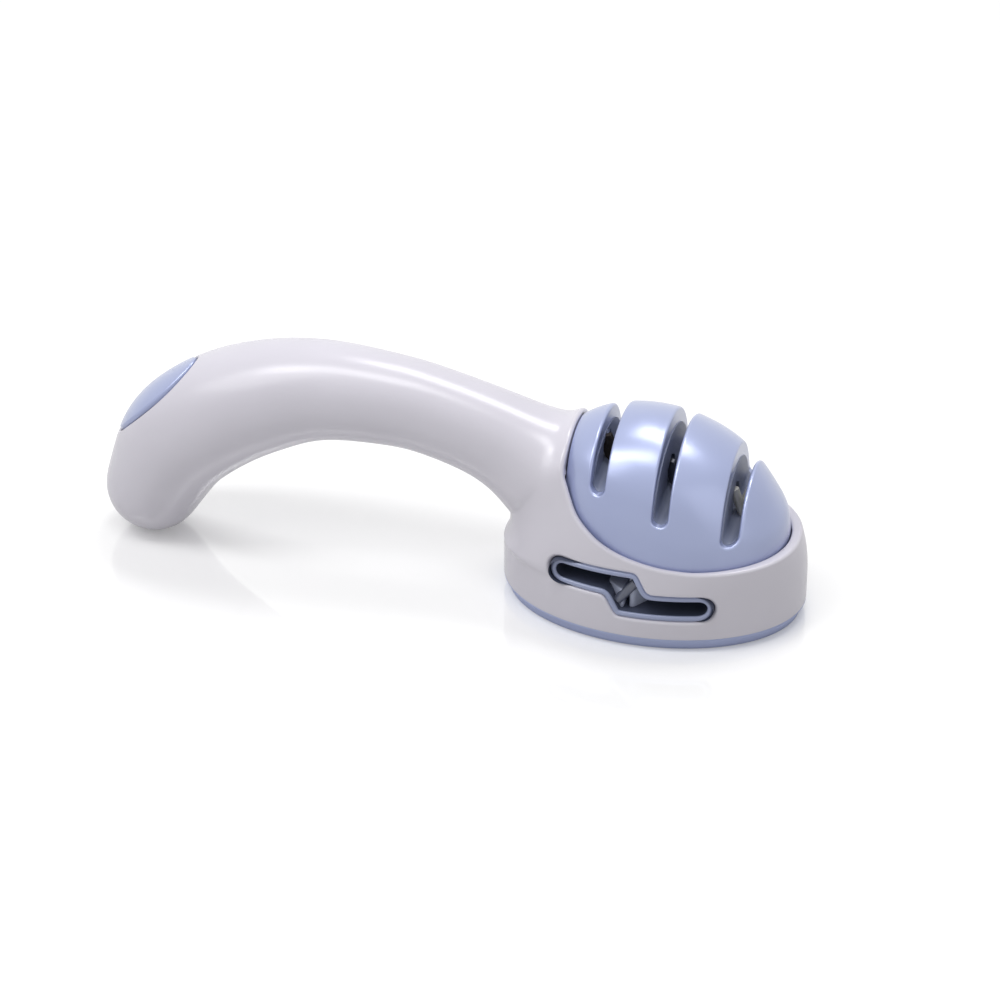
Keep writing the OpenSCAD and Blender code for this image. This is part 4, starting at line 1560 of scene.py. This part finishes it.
@dataclass
class DomeCover:
    """Shell of the module: a domed form with three knife slots cut down through it."""

    module_l: float = 77.3
    module_w: float = 59.0
    module_h: float = 63.8
    module_x: float = 69.15
    # Lower edge of the skirt, and where the dome begins over it
    low: float = 26.4
    foot: float = 26.6
    # Gap to the lip all round, and where the dome is cut off behind
    gap: float = 0.4
    rear_x: float = 40.7
    # Thickness of the wall, and what it gains towards the ridge
    cover_t: float = 1.8
    ridge_t: float = 5.0
    slot_w: float = 4.8
    slot_edge: RolledEdge = RolledEdge(0.85)
    rear_edge: RolledEdge = RolledEdge(0.6)
    power: float = 2.05
    # Share of the height, of the length drawn in at the rear and in front, and of the half width
    dome_shares: tuple[tuple[float, float, float, float], ...] = (
        (0, 0, 0, 1), (0.118, 0.005, 0.003, 0.995), (0.22, 0.012, 0.015, 0.983),
        (0.349, 0.02, 0.053, 0.956), (0.477, 0.032, 0.092, 0.915), (0.605, 0.047, 0.141, 0.854),
        (0.708, 0.065, 0.195, 0.776), (0.797, 0.097, 0.263, 0.678), (0.874, 0.146, 0.333, 0.556),
        (0.938, 0.225, 0.409, 0.4), (0.979, 0.308, 0.487, 0.23), (1, 0.385, 0.558, 0.07))
    # Place of each slot as a share of the length, and of its floor as a share of the height
    slot_shares: tuple[tuple[float, float], ...] = ((0.277, 0.737), (0.538, 0.644), (0.802, 0.538))
    # Points of each level, the distance between levels, and the blur in levels
    columns: int = 400
    step: float = 0.55
    blur: float = 3.5

    def level_rows(self) -> np.ndarray:
        """Every level of the dome, from the foot to the ridge.

        Returns:
            Height, rear, front and half width of each.
        """
        shares = np.array(self.dome_shares)
        rear = self.module_x - self.module_l / 2 + self.gap
        front = self.module_x + self.module_l / 2 - self.gap
        long, half = front - rear, self.module_w / 2 - self.gap
        top = shares[-1]
        # Over the last level the ridge closes to a short line
        closing = [top[0] + 0.0015, (top[1] + 1 - top[2]) / 2 - 0.02,
                   (1 - top[1] + top[2]) / 2 - 0.02, 0.004]
        rows = np.vstack([shares, closing])
        fine = catmull(rows, places_between(rows, 30))
        out = np.column_stack([self.foot + fine[:, 0] * (self.module_h - self.foot),
                               rear + fine[:, 1] * long, front - fine[:, 2] * long,
                               fine[:, 3] * half])
        along = walked(np.sqrt((np.diff(out, axis=0) ** 2).max(1)))
        at = np.linspace(0, along[-1], int(along[-1] / self.step))
        soft = softened(read_at(out, along, at), self.blur)
        skirt = np.column_stack([np.linspace(self.low, soft[0, 0], 3)[:-1],
                                 np.repeat(soft[:1, 1:], 2, axis=0)])
        return np.vstack([skirt, soft])

    def slot_places(self) -> list[tuple[float, float]]:
        """Place along the part and height of the floor of each slot."""
        return [(self.module_x + (x - 0.5) * self.module_l, z * self.module_h)
                for x, z in self.slot_shares]

    def slot_field(self, points: np.ndarray) -> tuple[np.ndarray, np.ndarray]:
        """How points lie to the nearest slot.

        Args:
            points: The points.

        Returns:
            Signed distance of each into the slot, and the way into it.
        """
        best = np.full(len(points), -100.0)
        into = np.tile([1.0, 0, 0], (len(points), 1))
        for x, floor in self.slot_places():
            dx = points[:, 0] - x
            dz = np.minimum(points[:, 2] - floor - self.slot_w / 2, 0)
            far = np.maximum(np.hypot(dx, dz), 1e-9)
            d = self.slot_w / 2 - far
            closer = d > best
            best = np.maximum(best, d)
            into[closer] = -flat_to_space(np.column_stack([dx / far, dz / far]))[closer]
        return best, into

    def build(self) -> None:
        """Makes the cover."""
        rows = self.level_rows()
        t = np.radians(np.arange(self.columns) * 360 / self.columns)
        u, v = bend(np.cos(t), self.power)[None], bend(np.sin(t), self.power)[None]
        z, rear, front, half = (rows[:, k:k + 1] for k in range(4))
        grid = np.stack([(rear + front) / 2 + (front - rear) / 2 * u, half * v, z + 0 * u],
                        axis=-1)
        middle = np.array([self.module_x - 8, 0, self.low])
        skin = Skin.from_grid(grid, True, lambda p: p - middle)
        sheets = [Skin.from_face(grid[-1], UP)]
        distance, into = self.slot_field(skin.points)
        skin, loops = skin.cut(self.slot_edge.trim(distance, skin.normals, into))
        sheets += [self.slot_wall(skin.points[loop], skin.normals[loop]) for loop in loops]
        back = np.tile([-1.0, 0, 0], (len(skin.points), 1))
        skin, start, normals = skin.opened(
            self.rear_edge.trim(self.rear_x - skin.points[:, 0], skin.normals, back))
        sheets += self.rear_wall(start, normals)
        sheets.append(self.lower_rim(rows[0]))
        add_piece("dome", [skin, *sheets], PEARL_ABS, Slot.BLUE, ["dome_cover"],
                  Place.MODULE_SIDE)

    def slot_wall(self, start: np.ndarray, normals: np.ndarray) -> Skin:
        """Rounded edge and wall of one slot, which runs deeper towards the ridge.

        Args:
            start: Points of the slot's trimmed edge.
            normals: Way that the dome faces at them.

        Returns:
            The edge and wall as a sheet.
        """
        into = self.slot_field(start)[1]
        high = np.clip((start[:, 2] - self.foot) / (self.module_h - self.foot), 0, 1)
        depth = self.cover_t + self.ridge_t * high * np.clip(normals[:, 2], 0, 1)
        slant = np.sqrt(np.clip(1 - (normals * into).sum(1) ** 2, 0.15, 1))
        run = softened(depth / slant, 3, closed=True) + 0.4
        return self.slot_edge.sheet(start, normals, into, run)

    def rear_wall(self, start: np.ndarray, normals: np.ndarray) -> list[Skin]:
        """Closes the dome where it is cut off behind.

        Args:
            start: Points of the trimmed edge.
            normals: Way that the dome faces at them.

        Returns:
            The rounded edge and the flat wall.
        """
        back = np.tile([-1.0, 0, 0], (len(start), 1))
        order = np.argsort(np.arctan2(start[:, 1], start[:, 2] - self.low))
        rings = self.rear_edge.rings(start[order], normals[order], back, 0.02)
        return [Skin.from_rings(rings, closed=False), Skin.from_face(rings[-1][0], (-1, 0, 0))]

    def lower_rim(self, row: np.ndarray) -> Skin:
        """Underside of the wall, seen when the module is out.

        Args:
            row: The lowest of level_rows.

        Returns:
            The underside as a sheet.
        """
        t = np.radians(np.linspace(-130, 130, 160))
        u, v = bend(np.cos(t), self.power), bend(np.sin(t), self.power)
        z, rear, front, half = row
        rings: list[Ring] = []
        for inset in (0.0, self.cover_t):
            p = np.column_stack([(rear + front) / 2 + ((front - rear) / 2 - inset) * u,
                                 (half - inset) * v, np.full(len(t), z)])
            p[:, 0] = np.maximum(p[:, 0], self.rear_x + 0.6)
            rings.append((p, np.tile(-UP, (len(t), 1))))
        return Skin.from_rings(rings, closed=False)


# Studio


def aimed(place: Sequence[float], target: Sequence[float]) -> Matrix:
    """Stands something at a place and aims it.

    Args:
        place: The place, in millimetres.
        target: What it looks at.

    Returns:
        Its matrix.
    """
    at = Vector(place) * MM
    turn = (Vector(target) * MM - at).to_track_quat("-Z", "Y")
    return Matrix.Translation(at) @ turn.to_matrix().to_4x4()


@dataclass(frozen=True)
class SoftBox:
    """Soft box: where it stands, what it looks at, its two sides, and its power in watts."""

    name: str
    place: tuple[float, float, float]
    target: tuple[float, float, float]
    size: tuple[float, float]
    power: float

    def build(self) -> None:
        """Adds the light."""
        data = bpy.data.lights.new(self.name, "AREA")
        data.shape = "RECTANGLE"
        data.size, data.size_y = self.size[0] * MM, self.size[1] * MM
        data.energy = self.power
        light = bpy.data.objects.new(self.name, data)
        light.matrix_world = aimed(self.place, self.target)
        bpy.context.scene.collection.objects.link(light)


@dataclass(frozen=True)
class Studio:
    """White sweep, soft lights and the camera."""

    azimuth: float = 14.5
    elevation: float = 31.96
    distance: float = 1200.0
    lens: float = 138.836
    target: tuple[float, float, float] = (15.89, 0.02, 26.0)
    boxes: tuple[SoftBox, ...] = (
        # Long box over the handle: the white streak along it
        SoftBox("strip", (-270, -235, 1050), (-310, -45, 40), (860, 260), 4.0),
        # Wide box above and behind: the white shine on the ribs and on the neck
        SoftBox("shine", (150, 350, 920), (40, 0, 50), (600, 240), 3.7),
        # Large key from high in front on the left
        SoftBox("key", (-650, -450, 950), (20, 0, 30), (700, 700), 3.4),
        # Weaker fill from the right
        SoftBox("fill", (800, -500, 500), (40, 0, 30), (700, 700), 0.8))
    # Half the floor's side, and its height, a hair under the part so that they share no plane
    floor_half: float = 6000.0
    floor_z: float = -0.03
    # Grey of the floor as the part sees it, what the camera sees on top, and the floor's glow
    floor_grey: float = 0.62
    floor_whiter: float = 0.26
    floor_glow: float = 0.19
    # Strength of the surroundings as light, and as they show, where 1 is white
    world_light: float = 0.29
    world_shown: float = 1.0

    def build(self) -> None:
        """Sets up floor, background, lights and camera."""
        bpy.context.scene.view_settings.view_transform = "Standard"
        self.add_floor()
        self.add_world()
        for box in self.boxes:
            box.build()
        self.add_camera()

    @staticmethod
    def seen(tree: bpy.types.NodeTree, path: bpy.types.Node) -> bpy.types.NodeSocket:
        """Tells rays that show a surface from rays that light by it.

        Args:
            tree: Tree to work in.
            path: Its Light Path node.

        Returns:
            A socket that is one where the camera or a reflection looks.
        """
        seen = add_node(tree, "ShaderNodeMath", {"operation": "MAXIMUM"})
        for ray, socket in zip(("Is Camera Ray", "Is Glossy Ray"), seen.inputs):
            tree.links.new(path.outputs[ray], socket)
        return seen.outputs["Value"]

    def add_floor(self) -> None:
        """White glossy sheet under the part, which keeps its shadow and a faint mirror image."""
        half, low = self.floor_half * MM, self.floor_z * MM
        mesh = bpy.data.meshes.new("sweep")
        corners = [(x * half, y * half, low) for x, y in ((-1, -1), (1, -1), (1, 1), (-1, 1))]
        mesh.from_pydata(corners, [], [(0, 1, 2, 3)])
        floor = bpy.data.objects.new("sweep", mesh)
        bpy.context.scene.collection.objects.link(floor)
        material = bpy.data.materials.new("white_acrylic_sheet")
        tree = cleared_tree(material)
        path = add_node(tree, "ShaderNodeLightPath")
        # The camera sees a whiter sheet than the one that lights the part from below
        white = add_node(tree, "ShaderNodeMath", {"operation": "MULTIPLY_ADD"})
        tree.links.new(path.outputs["Is Camera Ray"], white.inputs[0])
        white.inputs[1].default_value = self.floor_whiter
        white.inputs[2].default_value = self.floor_grey
        glow = add_node(tree, "ShaderNodeMath", {"operation": "MULTIPLY"})
        tree.links.new(self.seen(tree, path), glow.inputs[0])
        glow.inputs[1].default_value = self.floor_glow
        shader = add_node(tree, "ShaderNodeBsdfPrincipled", {
            "Roughness": 0.04, "IOR": 2.1, "Emission Color": (1, 1, 1, 1)},
            {"Base Color": white.outputs["Value"], "Emission Strength": glow.outputs["Value"]})
        # Seen from below the sheet is clear, so that the underside of the part shows
        below = add_node(tree, "ShaderNodeNewGeometry").outputs["Backfacing"]
        clear = add_node(tree, "ShaderNodeBsdfTransparent")
        sheet = add_node(tree, "ShaderNodeMixShader", {}, {"Fac": below})
        tree.links.new(shader.outputs["BSDF"], sheet.inputs[1])
        tree.links.new(clear.outputs["BSDF"], sheet.inputs[2])
        add_node(tree, "ShaderNodeOutputMaterial", {}, {"Surface": sheet.outputs["Shader"]})
        mesh.materials.append(material)

    def add_world(self) -> None:
        """Even surroundings that light the part softly and look white."""
        world = bpy.data.worlds.new("white_room")
        bpy.context.scene.world = world
        tree = cleared_tree(world)
        path = add_node(tree, "ShaderNodeLightPath")
        mix = add_node(tree, "ShaderNodeMixShader", {}, {"Fac": self.seen(tree, path)})
        for strength, socket in ((self.world_light, 1), (self.world_shown, 2)):
            light = add_node(tree, "ShaderNodeBackground", {
                "Color": (1, 1, 1, 1), "Strength": strength})
            tree.links.new(light.outputs["Background"], mix.inputs[socket])
        add_node(tree, "ShaderNodeOutputWorld", {}, {"Surface": mix.outputs["Shader"]})

    def add_camera(self) -> None:
        """Adds the camera of the photo."""
        a, e = math.radians(self.azimuth), math.radians(self.elevation)
        back = Vector((math.sin(a) * math.cos(e), -math.cos(a) * math.cos(e), math.sin(e)))
        place = Vector(self.target) + back * self.distance
        data = bpy.data.cameras.new("camera")
        data.lens = self.lens
        data.sensor_width = 36.0
        data.clip_end = 50.0
        camera = bpy.data.objects.new("camera", data)
        camera.matrix_world = aimed(place, self.target)
        bpy.context.scene.collection.objects.link(camera)
        bpy.context.scene.camera = camera


def build_screws(form: BodyForm, pockets: Sequence[tuple[float, float]]) -> None:
    """Makes the screws that show, in the sole's pockets and under the handle.

    Args:
        form: Form of the handle.
        pockets: Middles of the sole's pockets.
    """
    for node, length, places in (("base_screws", 13, pockets[:4]),
                                 ("tray_screws", 13, pockets[4:6]),
                                 ("scissor_screws", 9, pockets[6:])):
        feet = [(np.array([x, y, form.screw_sunk]), UP) for x, y in places]
        CrossScrews(node, length, feet).build()
    CrossScrews("handle_screws", 14, form.screw_feet()).build()


def main() -> None:
    """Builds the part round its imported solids, then the studio."""
    logging.basicConfig(level=logging.INFO, format="%(name)s %(message)s")
    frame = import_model()
    housing, sole, dome = Housing(), Sole(), DomeCover()
    housing.build()
    log.info("housing done")
    ScissorSlot(housing.outline, housing.near_side).build()
    log.info("scissor slot done")
    sole.build()
    dome.build()
    log.info("module cover done: slots at %s", dome.slot_places())
    build_screws(housing.form, sole.pockets)
    # The core's slate nylon carries painted light: it is lighter than its own tone, for the narrow
    # knife slots
    for node, finish in (
            ("base_plate", INSIDE_PP), ("seat_tray", INSIDE_PP), ("scissor_rod", DARK_CERAMIC),
            ("core_near", CORE_NYLON_PAINTED_LIGHT), ("core_far", CORE_NYLON_PAINTED_LIGHT), ("core_screws", SCREW_STEEL),
            ("core_plate", CORE_NYLON_PAINTED_LIGHT), ("plate_screws", SCREW_STEEL),
            ("coarse_plates", DIAMOND_PLATE), ("carbide_blades", CARBIDE),
            ("ceramic_rods", ALUMINA)):
        dress_solid(frame, node, finish)
    Studio().build()
    log.info("all pieces built")


if __name__ == "__main__":
    main()
